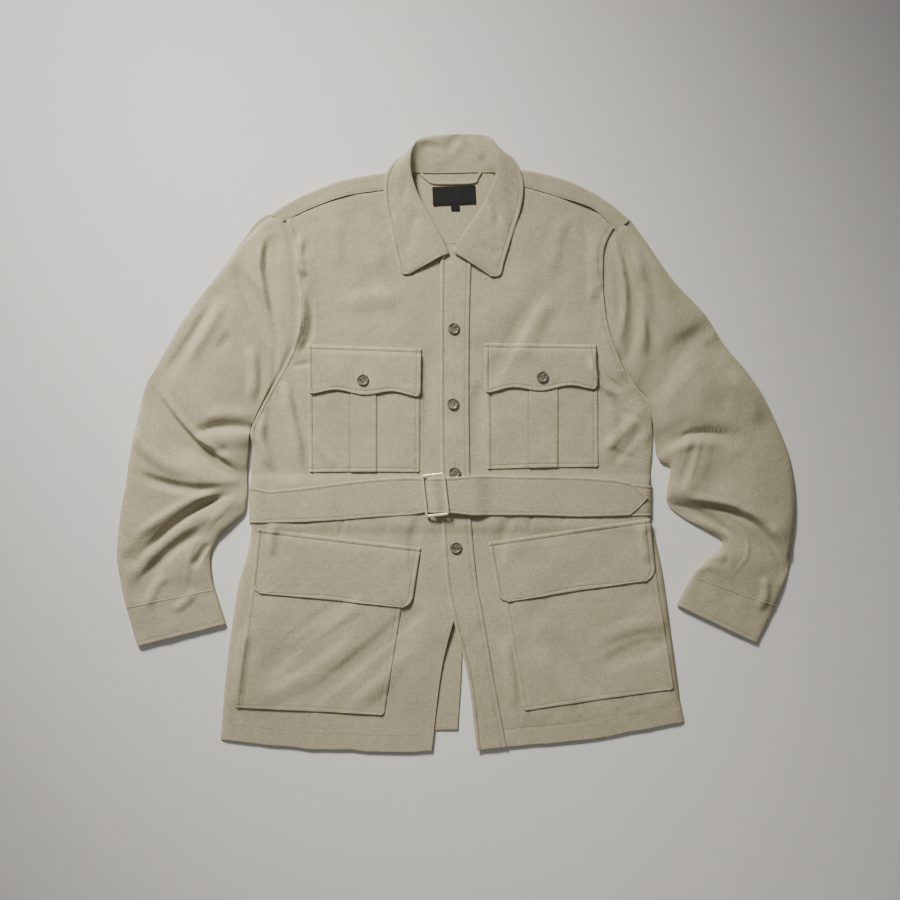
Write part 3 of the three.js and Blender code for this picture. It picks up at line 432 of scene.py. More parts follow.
# %% Creases
CREASE_COLUMNS = "x1 y1 xm ym x2 y2 height left right"
BODY_CREASES = table(CREASE_COLUMNS, [
    # wearer's right front
    [-198, 279, -204, 239, -194, 214, 3.5, 9, 8],
    [-194, 203, -187, 152, -205, 113, -2.3, 5, 8],
    [-206, 205, -200, 165, -214, 122, 2.9, 8, 6],
    [-186, 104, -200, 102, -213, 99, -1.8, 4, 6],
    [-218, 79, -200, 31, -185, -45, -1.8, 7, 9],
    [-226, 84, -212, 30, -198, -48, 3.5, 8, 10],
    [-233, 62, -239, 8, -206, -54, -2.4, 8, 7],
    [-250, 40, -252, 0, -236, -40, 3.2, 9, 8],
    [-246, -26, -245, -44, -245, -61, -0.7, 3, 3],
    [-150, 175, -110, 190, -70, 182, 1.8, 16, 22],
    [-176, 84, -171, 76, -168, 77, -0.7, 3, 4],
    [-68, 83, -62, 77, -57, 79, -0.7, 3, 4],
    [-147, -98, -148, -111, -150, -124, -1.3, 3, 5],
    [-90, -104, -93, -116, -91, -132, -0.6, 4, 5],
    [-234, -104, -240, -124, -238, -150, 2.4, 10, 9],
    [-128, -204, -188, -246, -262, -316, -1.8, 14, 20],
    [-112, -206, -168, -232, -250, -292, 1.7, 18, 14],
    [-34, -211, -100, -262, -203, -352, -2.2, 12, 18],
    [-118, -238, -186, -298, -280, -338, 1.8, 20, 15],
    [-60, -262, -96, -310, -150, -352, 1.6, 18, 14],
    [-270, -230, -280, -290, -284, -350, 3, 10, 12],
    [-118, 236, -110, 192, -90, 150, -1.0, 13, 17],
    [-150, 296, -156, 262, -148, 226, 1.1, 14, 12],
    [-196, 20, -176, -10, -150, -30, 1.2, 10, 14],
    [-38, 134, -37, 70, -41, 4, -2.0, 15, 8],
    [-132, 300, -108, 262, -98, 214, 1.3, 16, 12],
    [-44, -92, -56, -130, -52, -190, -1.7, 14, 9],
    [-170, -90, -196, -102, -226, -98, -1.0, 6, 9],
    # wearer's left front
    [170, 262, 178, 215, 176, 180, 2.6, 12, 9],
    [183, 125, 192, 88, 223, 69, -2.5, 6, 9],
    [176, 118, 186, 82, 214, 58, 3, 8, 7],
    [246, 46, 217, 14, 184, -18, 1.9, 10, 12],
    [250, 26, 226, -2, 198, -36, -1.2, 7, 9],
    [103, 186, 67, 121, 31, 56, -1.6, 13, 18],
    [130, 196, 100, 150, 78, 100, 1.9, 18, 14],
    [99, -92, 98, -102, 97, -114, -1.1, 3, 5],
    [140, -92, 140, -98, 139, -106, -0.7, 3, 4],
    [240, -104, 244, -130, 250, -160, 2.4, 9, 9],
    [110, -232, 152, -288, 200, -338, -1.7, 14, 20],
    [96, -258, 130, -310, 160, -345, 1.5, 18, 13],
    [176, -296, 236, -268, 286, -258, -1.7, 13, 18],
    [172, -264, 232, -240, 286, -238, 1.6, 17, 13],
    [62, -250, 72, -300, 76, -352, 2.4, 9, 12],
    [162, 306, 176, 235, 188, 150, -1.5, 7, 10],
    [60, 226, 92, 182, 120, 138, 1.1, 18, 13],
    [196, 60, 206, 20, 196, -30, 1.3, 9, 12],
    [34, 84, 30, 32, 34, -28, -2.2, 8, 15],
    [150, 300, 132, 262, 126, 214, 1.3, 12, 16],
    [80, -92, 62, -120, 58, -170, -1.5, 8, 13],
    [206, 60, 222, 40, 246, 30, -1.8, 6, 9],
    [198, -2, 212, -14, 240, -20, -1.4, 6, 9],
])
SLEEVE_CREASES = table(CREASE_COLUMNS, [
    # wearer's right sleeve, from the shoulder down
    [-244, 270, -246, 214, -226, 128, -5.2, 7, 8],
    [-246, 266, -252, 232, -238, 170, 2.6, 7, 6],
    [-286, 228, -264, 172, -232, 122, -5.6, 9, 8],
    [-280, 238, -252, 198, -228, 158, 2.5, 8, 9],
    [-318, 181, -341, 141, -381, 82, -2.7, 12, 9],
    [-300, 192, -322, 150, -356, 96, 2.9, 12, 14],
    [-291, 141, -300, 131, -309, 119, -2.5, 5, 7],
    [-268, 128, -262, 90, -266, 50, 3.5, 10, 12],
    [-235, 143, -234, 104, -238, 73, -3.5, 4, 6],
    [-402, 77, -345, 3, -273, -49, -6.2, 10, 11],
    [-398, 82, -376, 24, -334, -16, -2.9, 8, 30],
    [-384, 78, -345, 16, -272, -34, 3.4, 10, 6],
    [-424, 30, -398, -12, -336, -44, 2.7, 12, 14],
    [-346, 6, -304, 22, -250, 14, -3.8, 8, 9],
    [-334, 30, -298, 37, -256, 32, 1.8, 11, 8],
    [-342, -6, -316, -12, -290, -6, -2, 8, 7],
    [-424, -34, -352, -58, -274, -54, -3.8, 9, 11],
    [-282, -65, -348, -94, -424, -164, -4.4, 5, 9],
    [-300, -58, -362, -84, -428, -130, 2.7, 12, 7],
    [-325, -112, -374, -144, -414, -194, -3.7, 9, 12],
    [-319, -128, -331, -146, -341, -164, -3, 5, 9],
    [-372, -170, -392, -190, -402, -220, 2.2, 9, 10],
    [-340, -190, -352, -206, -372, -218, 1.9, 10, 8],
    [-284, -69, -308, -92, -331, -121, 0.8, 4, 4],
    [-331, -121, -346, -148, -349, -192, 0.8, 4, 4],
    # wearer's left sleeve, from the shoulder down
    [207, 276, 231, 180, 216, 92, -5.0, 8, 5],
    [214, 124, 222, 90, 246, 62, -4.0, 6, 8],
    [236, 38, 286, 112, 352, 164, -4.4, 20, 11],
    [226, 78, 244, 64, 264, 58, -2.2, 5, 5],
    [350, 96, 376, 62, 396, 20, 2.5, 14, 12],
    [262, -9, 311, 13, 364, 7, -4.8, 6, 8],
    [272, -16, 312, 0, 352, -6, 2.0, 8, 9],
    [274, -81, 324, -95, 362, -124, -4.6, 6, 7],
    [286, -70, 345, -80, 402, -104, 3.1, 9, 6],
    [308, -82, 382, -100, 430, -168, -4.4, 7, 8],
    [400, -104, 424, -126, 434, -156, 2.4, 8, 7],
    [398, -172, 402, -194, 392, -220, 2.6, 9, 9],
    [357, -104, 379, -134, 356, -175, 0.8, 4, 4],
    [220, 272, 245, 186, 236, 96, 4.0, 15, 8],
    [228, 218, 247, 168, 262, 122, -2.2, 8, 9],
    [203, 268, 220, 190, 207, 116, 3.2, 6, 7],
    [300, 214, 322, 176, 352, 124, 1.3, 16, 16],
    [300, 116, 338, 78, 356, 30, -1.3, 18, 16],
    [246, 262, 270, 190, 292, 120, 1.4, 16, 14],
    [336, 126, 304, 92, 268, 46, 1.2, 16, 14],
    [312, 14, 304, -22, 288, -70, -2.0, 7, 10],
    [326, 4, 322, -28, 308, -66, 1.0, 11, 9],
    [364, 0, 372, -40, 366, -84, -1.0, 16, 18],
    [340, -128, 352, -144, 346, -168, -1.0, 7, 9],
    [300, -176, 328, -160, 352, -176, 0.9, 8, 8],
])
CREASE_STEPS = 40
CREASE_STRENGTH = 1.3


def crease_height(creases, x, y):
    """Sum of creases: each is a parabola through its ends and its middle, whose height falls off to
    either side by its own width and eases out over the last quarter towards both ends."""
    total = np.zeros_like(x)
    t = np.linspace(0, 1, CREASE_STEPS)
    for x1, y1, xm, ym, x2, y2, height, left, right in zip(*creases.values()):
        line_x = (1 - t) ** 2 * x1 + 2 * t * (1 - t) * (2 * xm - (x1 + x2) / 2) + t ** 2 * x2
        line_y = (1 - t) ** 2 * y1 + 2 * t * (1 - t) * (2 * ym - (y1 + y2) / 2) + t ** 2 * y2
        far = max(left, right)
        near = ((x > line_x.min() - far) & (x < line_x.max() + far)
                & (y > line_y.min() - far) & (y < line_y.max() + far))
        if not near.any():
            continue
        px, py = x[near][:, None], y[near][:, None]
        closest = np.argmin((px - line_x) ** 2 + (py - line_y) ** 2, axis=1)
        run_x, run_y = np.gradient(line_x), np.gradient(line_y)
        run = np.hypot(run_x, run_y)
        off_x, off_y = px[:, 0] - line_x[closest], py[:, 0] - line_y[closest]
        cross = (run_x[closest] * off_y - run_y[closest] * off_x) / run[closest]
        ahead = (run_x[closest] * off_x + run_y[closest] * off_y) / run[closest] ** 2
        share = clamp01((closest + ahead) / (CREASE_STEPS - 1))
        over = np.maximum(0, np.abs(ahead) - 1) * run[closest]
        width = np.where(cross > 0, left, right)
        side = clamp01(np.hypot(cross, over) / width)
        ends = smoothstep(share / 0.28) * smoothstep((1 - share) / 0.28)
        total[near] += height * (1 - side ** 2) ** 2 * ends
    return total


# %% Unevenness
LATTICE_SIZE = 128
LATTICE = np.random.default_rng(11).uniform(-1, 1, (LATTICE_SIZE, LATTICE_SIZE))


def drift(x, y, size):
    """Seeded smooth unevenness from -1 to 1, in spots about size mm across: a grid of random values,
    eased between."""
    gx, gy = x / size + 40.3, y / size + 40.7
    ix, iy = np.floor(gx).astype(int), np.floor(gy).astype(int)
    fx, fy = smoothstep(gx - ix), smoothstep(gy - iy)

    def at(i, j):
        return LATTICE[i % LATTICE_SIZE, j % LATTICE_SIZE]

    return mix(mix(at(ix, iy), at(ix + 1, iy), fx), mix(at(ix, iy + 1), at(ix + 1, iy + 1), fx), fy)


def limpness(x, y):
    """Soft unevenness of a washed cloth, in mm: three sizes of spot added up."""
    return 0.9 * drift(x, y, 52) + 0.56 * drift(x + 300, y, 23) + 0.16 * drift(x, y + 500, 9)


def eased_floor(height):
    """A height that eases out above the lowest one at which the layers still clear each other."""
    return LOWEST_TOP + np.logaddexp(0, (height - LOWEST_TOP) * 2) / 2


def belt_lift(y):
    """Rise of the body over the strap across its back, easing out over 14 mm on both sides."""
    return BELT_RISE * smoothstep(1 - (np.abs(y - BELT_Y) - BELT_WIDTH / 2 - 2) / 14)


def top_height(x, y):
    """Outer face of the body's top layer above the floor."""
    creased = CREASE_STRENGTH * crease_height(BODY_CREASES, x, y)
    folded = LOFT + fold_height(x, y) + creased + limpness(x, y)
    return eased_floor(folded) + belt_lift(y)


sample = np.linspace(-200, 200, 9)
print("top layer across the chest in mm:", top_height(sample, sample * 0 + 150).round(1).tolist())

# %% [markdown]
# ## From a grid to a piece
# A sewn edge is what makes a panel look made: it turns over, it swells between the edge and the
# stitching, and it dips where the thread pulls it down. That relief depends only on the distance
# from the panel's borders, so it is added to the grid before the wall gets its thickness.


# %% Relief of sewn edges
EDGE_ROUND = 0.9        # mm over which an edge turns down
STITCH_PITCH = 3.2      # mm from one stitch to the next


def border_distances(grid):
    """Length along rows and columns from the left, right, top and bottom border, in mm."""
    across = np.linalg.norm(np.diff(grid, axis=1), axis=2)
    down = np.linalg.norm(np.diff(grid, axis=0), axis=2)
    left = np.pad(np.cumsum(across, axis=1), ((0, 0), (1, 0)))
    top = np.pad(np.cumsum(down, axis=0), ((1, 0), (0, 0)))
    return {"left": left, "right": left[:, -1:] - left, "top": top, "bottom": top[-1:, :] - top}


def edge_turn(distance):
    """How far an edge turns down: a quarter circle over the last millimetre."""
    return -0.35 * (1 - rolled(distance, EDGE_ROUND))


def seam_relief(distance, inset, swell, groove):
    """Swell up to the stitching, a dip along it and a slow return to the cloth behind it."""
    within = smoothstep(distance / 1.5) * smoothstep((inset - distance) / 1.2 + 0.5)
    dip = np.exp(-((distance - inset) / 0.85) ** 2)
    return swell * within - groove * dip


def pucker(grid, distance, inset, height):
    """Small waves that the thread draws up on both sides of a stitched line."""
    waves = drift(grid[..., 0], grid[..., 1], 7.5) + 0.6 * drift(grid[..., 1], grid[..., 0], 12)
    return height * waves * np.exp(-((distance - inset) / (inset + 3.0)) ** 2)


def edge_wear_and_painted_light(grid, distance, inset):
    """Tone of a stitched edge: lighter along the fold, partly rubbed wear and partly a painted highlight, and
    darker with painted shade where the stitches pull it in.
    """
    rub_and_painted_highlight = 0.16 * np.exp(-(distance / 1.3) ** 2) * (0.75 + 0.25 * drift(grid[..., 0], grid[..., 1], 6))
    return rub_and_painted_highlight - 0.45 * np.exp(-((distance - inset) / 0.8) ** 2)


def sewn_relief(grid, distance, edge):
    """Relief of one sewn edge, given as its stitching's distance, its swell, its dip and its puckers."""
    inset, swell, groove, waves = edge
    raised = edge_turn(distance) + seam_relief(distance, inset, swell, groove)
    return raised + pucker(grid, distance, inset, waves)


def sew(grid, edges, lift=1.0):
    """The grid moved up by the relief of each named edge, (inset, swell, groove, pucker) in mm, and
    its tone: rubbed wear with a painted highlight along the edges, painted shade along the stitching."""
    distances = border_distances(grid)
    relief, wear_and_painted_light = np.zeros(grid.shape[:2]), np.zeros(grid.shape[:2])
    for border, edge in edges.items():
        relief += sewn_relief(grid, distances[border], edge)
        wear_and_painted_light += edge_wear_and_painted_light(grid, distances[border], edge[0])
    moved = grid.copy()
    moved[..., 2] += relief * lift
    return moved, wear_and_painted_light * lift


# %% Grids and stops
def stops(length, step, first=(), last=()):
    """Shares from 0 to 1 along a length: even steps, with finer distances near either end."""
    inner = np.arange(max(first, default=0) + step, length - max(last, default=0) - step * 0.5, step)
    places = np.concatenate([[0], first, inner, length - np.array(last, float), [length]])
    return np.unique(np.round(places, 4)) / length


# Distances from a border, in mm: for a stitched edge, for a rolled side, and for a side that is both.
FINE = (0.25, 0.6, 1.0, 1.6, 2.4, 3.4, 4.2, 4.8, 5.3, 5.8, 6.4, 7.4, 8.8)
ROUND = (0.3, 0.7, 1.3, 2.1, 3.1, 4.3, 5.7, 7.3, 9.1, 11.0, 12.5)
SIDE_STOPS = (0.3, 0.7, 1.3, 2.1, 3.1, 4.2, 5.0, 5.6, 6.2, 6.9, 8.0, 9.4, 11.0, 12.5)
# The same for the hems of the fronts, the backs and the placket, whose stitching is 23 mm in.
FRONT_HEM_STOPS = (0.3, 0.7, 1.3, 2.2, 3.6, 5.4, 20.4, 21.4, 22.2, 23, 23.8, 24.6, 25.8)
BACK_HEM_STOPS = (0.4, 1.0, 2.0, 3.4, 5.4, 21.4, 22.4, 23, 23.6, 24.6)
PLACKET_HEM_STOPS = (0.3, 0.7, 1.3, 2.2, 22, 23, 24)


def grid_of(function, across, down):
    """Points of function(u, v) for every pair of stops, as rows of points."""
    u, v = np.meshgrid(across, down)
    return np.stack(function(u, v), axis=-1)


def facing_up(grid):
    """The grid, mirrored across its rows if it turns clockwise seen from above. Its rows then run from
    the wearer's left to right, so a panel's outer edge is the border with its own side's name."""
    a, b, c = grid[0, 0], grid[0, -1], grid[-1, 0]
    turn = (b[0] - a[0]) * (c[1] - a[1]) - (b[1] - a[1]) * (c[0] - a[0])
    return grid if turn > 0 else grid[:, ::-1]


def normals_of(grid, closed=False):
    """Unit normals from the differences across and down."""
    if closed:
        across = np.roll(grid, -1, axis=1) - np.roll(grid, 1, axis=1)
    else:
        across = np.gradient(grid, axis=1)
    normal = np.cross(across, np.gradient(grid, axis=0))
    return normal / np.maximum(1e-9, np.linalg.norm(normal, axis=2, keepdims=True))


# %% Meshes from arrays
def mesh_object(name, points, quads, grain, material, wear_and_painted_light=None):
    """An object whose mesh is put in with foreach_set: points in mm, quads as rows of four indices,
    grain map in metres."""
    mesh = bpy.data.meshes.new(name)
    mesh.vertices.add(len(points))
    mesh.vertices.foreach_set("co", (points * MM).astype(np.float32).ravel())
    mesh.loops.add(quads.size)
    mesh.loops.foreach_set("vertex_index", quads.astype(np.int32).ravel())
    mesh.polygons.add(len(quads))
    mesh.polygons.foreach_set("loop_start", np.arange(0, quads.size, 4, dtype=np.int32))
    mesh.update(calc_edges=True)
    mesh.validate()
    mesh.polygons.foreach_set("use_smooth", np.ones(len(mesh.polygons), bool))
    layer = mesh.uv_layers.new(name="grain")
    corners = np.zeros(len(mesh.loops), np.int32)
    mesh.loops.foreach_get("vertex_index", corners)
    layer.data.foreach_set("uv", grain[corners].astype(np.float32).ravel())
    # The cloth material reads this point attribute: rubbed wear and painted highlight above 0, painted shade
    # below.
    if wear_and_painted_light is not None:
        worn_and_painted_light = mesh.attributes.new("wear_and_painted_light", "FLOAT", "POINT")
        worn_and_painted_light.data.foreach_set("value", wear_and_painted_light.astype(np.float32).ravel())
    mesh.set_sharp_from_angle(angle=math.radians(55))
    mesh.materials.append(material)
    made = bpy.data.objects.new(name, mesh)
    bpy.context.scene.collection.objects.link(made)
    return made


def strips(index, closed):
    """Quads between neighbouring rows and columns of a grid of indices."""
    after = np.roll(index, -1, axis=1) if closed else index[:, 1:]
    before = index if closed else index[:, :-1]
    return np.stack([before[:-1], after[:-1], after[1:], before[1:]], axis=-1).reshape(-1, 4)


def wall(name, outer, thickness, material, inner=None, closed=False, floor_level=None, grain=None, wear_and_painted_light=None):
    """A closed wall: the outer grid, the same grid moved in along its normals, and the rims between
    them."""
    if inner is None:
        inner = outer - thickness * normals_of(outer, closed)
        lowest = np.zeros(outer.shape[:2]) if floor_level is None else floor_level(outer[..., 1])
        inner[..., 2] = np.maximum(inner[..., 2], lowest)
    rows, cols = outer.shape[:2]
    index = np.arange(rows * cols).reshape(rows, cols)
    behind = index + rows * cols
    quads = [strips(index, closed), strips(behind, closed)[:, ::-1]]
    ring = np.append(index[0], index[0, 0]) if closed else index[0]
    ring_end = np.append(index[-1], index[-1, 0]) if closed else index[-1]
    shift = rows * cols
    quads.append(np.stack([ring[1:], ring[:-1], ring[:-1] + shift, ring[1:] + shift], axis=-1))
    quads.append(np.stack([ring_end[:-1], ring_end[1:], ring_end[1:] + shift, ring_end[:-1] + shift], axis=-1))
    if not closed:
        side, other = index[:, 0], index[:, -1]
        quads.append(np.stack([side[:-1], side[1:], side[1:] + shift, side[:-1] + shift], axis=-1))
        quads.append(np.stack([other[1:], other[:-1], other[:-1] + shift, other[1:] + shift], axis=-1))
    points = np.concatenate([outer.reshape(-1, 3), inner.reshape(-1, 3)])
    plan = outer[..., :2] * MM if grain is None else grain
    both = np.concatenate([plan.reshape(-1, 2)] * 2)
    worn_and_painted_light = None if wear_and_painted_light is None else np.concatenate([wear_and_painted_light.ravel(), np.zeros(rows * cols)])
    return mesh_object(name, points, np.concatenate(quads), both, material, worn_and_painted_light)


# %% Register a piece
PANELS = {}      # finished grids, kept for the stitching


def dress(made, node):
    """The piece rides on the jacket and stands for its solid."""
    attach(made, "root")
    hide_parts(node)
    return made


def panel(node, grid, thickness, edges, lift=1.0, floor_level=None, material=cloth,
          wear_and_painted_light=0.0):
    """Sews the edges of a grid, makes its wall and registers it."""
    sewn, rub_and_painted_light = sew(grid, edges, lift)
    PANELS[node] = sewn
    made = wall("cloth_" + node, sewn, thickness, material, floor_level=floor_level, wear_and_painted_light=rub_and_painted_light + wear_and_painted_light)
    print(node, "faces", len(made.data.polygons))
    return dress(made, node)


# %% [markdown]
# ## The body
# Two fronts meet under the placket and two back halves meet at a centre seam with an open vent.
# Rows of a table give each panel's inner and outer edge from top to bottom, and a ruled surface
# between them is all the plan there is: the folds do the rest.

# %% Shoulder line
YOKE = table("startX foldX foldY edgeX edgeY wrap", [
    [-227, -241, 299, -225, 288, 1],
    [-196, -203, 321, -186, 306, 1],
    [-151, -153, 341, -144, 321, 1],
    [-105, -109, 350, -101, 328, 1],
    [-80, -83, 353, -73, 332, 1],
    [-60, -66, 354, -62, 345, 0.55],
    [-44, -50, 354, -50, 352, 0],
    [-22, -25, 354, -25, 352, 0],
    [0, 0, 354, 0, 352, 0],
    [22, 24, 355, 24, 353, 0],
    [42, 47, 356, 47, 354, 0],
    [60, 62, 357, 58, 348, 0.55],
    [82, 80, 356, 71, 336, 1],
    [104, 103, 353, 97, 331, 1],
    [140, 145, 342, 136, 319, 1],
    [176, 189, 320, 178, 305, 1],
    [212, 225, 292, 209, 276, 1],
])


def under_yoke(x, y):
    """How far a front sinks, in mm, to lie under the yoke's lap: nothing below the lap's edge, all
    of it 2 mm above."""
    edge_y = np.interp(x, YOKE["edgeX"], YOKE["edgeY"])
    return 1.5 * smoothstep((y - edge_y + 1.5) / 3.5)


# %% Fronts
FRONT_COLUMNS = "inX inY outX outY roll"
FRONTS = {
    "left": table(FRONT_COLUMNS, [
        [68, 345, 211, 289, 0],
        [56, 306, 194, 257, 0],
        [40, 277, 191, 220, 0],
        [26, 250, 193, 183, 0],
        [14, 218, 198, 151, 0],
        [12, 179, 209, 118, 0],
        [11, 140, 226, 82, 0],
        [11, 95, 251, 54, 0],
        [11, 52, 257, 18, 1],
        [11, 4, 256, -14, 1],
        [11, -42, 253, -48, 1],
        [12, -92, 252, -94, 1],
        [15, -133, 261, -129, 1],
        [22, -178, 270, -174, 1],
        [30, -224, 277, -224, 1],
        [40, -282, 285, -285, 1],
        [53, -348, 292, -334, 1],
        [62, -396, 298, -363, 1],
    ]),
    "right": table(FRONT_COLUMNS, [
        [-72, 339, -223, 297, 0],
        [-58, 306, -212, 257, 0],
        [-40, 277, -207, 218, 0],
        [-18, 251, -204, 179, 0],
        [5, 226, -207, 140, 0],
        [5, 179, -221, 105, 0],
        [5, 140, -243, 66, 0],
        [5, 95, -266, 20, 0],
        [5, 52, -267, -4, 1],
        [5, 4, -267, -22, 1],
        [5, -42, -267, -50, 1],
        [5, -92, -266, -96, 1],
        [5, -133, -270, -136, 1],
        [3, -178, -283, -182, 1],
        [0, -217, -291, -230, 1],
        [-12, -263, -298, -282, 1],
        [-21, -308, -303, -334, 1],
        [-32, -402, -307, -387, 1],
    ]),
}
ARMHOLE_ROWS = 7


def front_cover(side, v):
    """How far the outer edge of a front rolls down, 0 along the armhole and 1 below it."""
    return clamp01(along(FRONTS[side]["roll"], v))


def front_point(side, u, v):
    """Ruled surface from the centre edge to the outer edge, at the top layer's height, rolled down
    at its side."""
    rows = FRONTS[side]
    in_x, in_y = along(rows["inX"], v), along(rows["inY"], v)
    out_x, out_y = along(rows["outX"], v), along(rows["outY"], v)
    x = mix(in_x, out_x, u)
    y = mix(in_y, out_y, u) - 5 * np.sin(np.pi * u) * smoothstep((v - 0.8) / 0.2)
    from_edge = (1 - u) * np.hypot(out_x - in_x, out_y - in_y)
    top = mix(top_height(x, y), HEM_HEIGHT, smoothstep((v - 0.93) / 0.07))
    edge = mix(1, rolled(from_edge, SIDE_ROLL), front_cover(side, v))
    base = belt_lift(y)
    y = y + 1.6 * drift(x, 0 * y, 26) * smoothstep((v - 0.9) / 0.1)
    return x, y, base + (top - base) * edge - under_yoke(x, y)


# A sewn edge: distance of its stitching, swell, dip and puckers, in mm.
HEM = (23.0, 0.25, 0.45, 0.35)
ARMHOLE = (6.0, 0.3, 0.45, 0.42)
BACK_SIDE = (5.0, 0.15, 0.3, 0.15)
for side in ("left", "right"):
    across = stops(262, 3.2, last=SIDE_STOPS)
    down = stops(742, 3.2, first=(0.5, 1.2), last=FRONT_HEM_STOPS)
    grid = facing_up(grid_of(lambda u, v: front_point(side, u, v), across, down))
    along_armhole = 1 - front_cover(side, down)[:, None]
    grid, wear_and_painted_light = sew(grid, {side: ARMHOLE}, lift=along_armhole)
    panel("front_" + side, grid, CLOTH, {"bottom": HEM},
          floor_level=belt_lift, wear_and_painted_light=wear_and_painted_light)

# %% Backs
BACK_COLUMNS = "inX inY outX outY"
BACKS = {
    "left": table(BACK_COLUMNS, [
        [0, 260, 210, 260],
        [2, 190, 207, 195],
        [4, 110, 214, 120],
        [5, 60, 245, 47],
        [6, 0, 253, 10],
        [7, -75, 248, -75],
        [8, -140, 258, -140],
        [11, -204, 269, -204],
        [23, -292, 281, -285],
        [35, -380, 290, -358],
    ]),
    "right": table(BACK_COLUMNS, [
        [0, 260, -225, 260],
        [2, 190, -224, 195],
        [4, 110, -232, 120],
        [5, 60, -244, 50],
        [6, 0, -263, 5],
        [7, -75, -261, -75],
        [8, -140, -264, -140],
        [9, -204, -281, -204],
        [7, -292, -293, -290],
        [2, -374, -300, -382],
    ]),
}
SEAM_GAP = 0.4


def back_point(side, u, v):
    """Ruled surface on the floor from the centre seam to the side, raised where it crosses the strap."""
    rows = BACKS[side]
    sign = 1 if side == "left" else -1
    x = mix(along(rows["inX"], v) + sign * SEAM_GAP / 2, along(rows["outX"], v), u)
    y = mix(along(rows["inY"], v), along(rows["outY"], v), u) - SEAM_GAP * (v == 0)
    rumple = 0.5 * (1 + drift(x, y, 38)) * smoothstep((v - 0.8) / 0.1)
    return x, y, belt_lift(y) + CLOTH + rumple


for side in ("left", "right"):
    across = stops(270, 7, first=(0.4, 1.0, 2.0, 3.4, 5.2, 6.4))
    down = stops(634, 7, first=(0.5, 1.4), last=BACK_HEM_STOPS)
    grid = facing_up(grid_of(lambda u, v: back_point(side, u, v), across, down))
    panel("back_" + side, grid, CLOTH, {"bottom": HEM, side: BACK_SIDE}, floor_level=belt_lift)

# %% [markdown]
# ## Yoke
# The yoke is one piece: it lies under the shoulders, turns over them and laps the fronts, where
# its edge shows as the shoulder seam. A path in three stages carries it: floor, half turn, lap.

# %% Yoke
SHOULDER_ROLL = 4.0
YOKE_EDGE = (2.2, 0.25, 0.4, 0.3)
YOKE_COLUMNS, YOKE_ROWS = 150, 54
YOKE_EDGE_SHARES = (0.004, 0.008, 0.012, 0.018, 0.024)      # finer rows at the lap's edge, of its length


def yoke_point(u, v):
    """Straight along the floor to the bend, half a turn round it, then straight back over the front."""
    start_x, fold_x, fold_y = along(YOKE["startX"], u), along(YOKE["foldX"], u), along(YOKE["foldY"], u)
    edge_x, edge_y = along(YOKE["edgeX"], u), along(YOKE["edgeY"], u)
    wrap = clamp01(along(YOKE["wrap"], u))
    stage = v * (1 + 2 * wrap)
    run = np.hypot(fold_x - start_x, fold_y - YOKE_SEAM_Y)
    head_x, head_y = (fold_x - start_x) / run, (fold_y - YOKE_SEAM_Y) / run
    bend_x, bend_y = fold_x - SHOULDER_ROLL * head_x, fold_y - SHOULDER_ROLL * head_y
    at_ends = smoothstep(1 - u / 0.035) + smoothstep(1 - (1 - u) / 0.035)
    edge_height = top_height(edge_x, edge_y) + 0.5 - 0.9 * at_ends
    floor_x, floor_y = mix(bend_x, fold_x, 1 - wrap), mix(bend_y, fold_y, 1 - wrap)
    angle = np.pi * (clamp01(stage - 1) - 0.5)
    out = SHOULDER_ROLL * np.cos(angle)
    on_floor, on_lap = stage <= 1, stage > 2
    x = np.where(on_floor, mix(start_x, floor_x, stage),
                 np.where(on_lap, mix(bend_x, edge_x, stage - 2), bend_x + head_x * out))
    y = np.where(on_floor, mix(YOKE_SEAM_Y, floor_y, stage),
                 np.where(on_lap, mix(bend_y, edge_y, stage - 2), bend_y + head_y * out))
    z = np.where(on_floor, 0.0, np.where(on_lap, edge_height, edge_height * (1 + np.sin(angle)) / 2))
    return x, y, z


yoke_down = stops(1, 1 / YOKE_ROWS, last=YOKE_EDGE_SHARES)
grid = grid_of(yoke_point, np.linspace(0, 1, YOKE_COLUMNS), yoke_down)[:, ::-1]
from_lap_edge = border_distances(grid)["bottom"]
lap = smoothstep((grid[..., 2] - 3) / 2)
grid[..., 2] += lap * sewn_relief(grid, from_lap_edge, YOKE_EDGE)
PANELS["yoke"] = grid
wear_and_painted_light = lap * edge_wear_and_painted_light(grid, from_lap_edge, YOKE_EDGE[0])
dress(wall("cloth_yoke", grid, CLOTH, cloth, wear_and_painted_light=wear_and_painted_light), "yoke")
print("yoke reaches z", round(grid[..., 2].max(), 1), "mm")

# %% [markdown]
# ## Sleeves and cuffs
# A sleeve is a flattened tube. Each ring crosses it from the outer fold to the inner fold over the
# top and comes back along the floor, so the rings can follow the armhole at one end and the cuff
# at the other. The deep creases at the elbow and the underarm are what the photograph shows most.

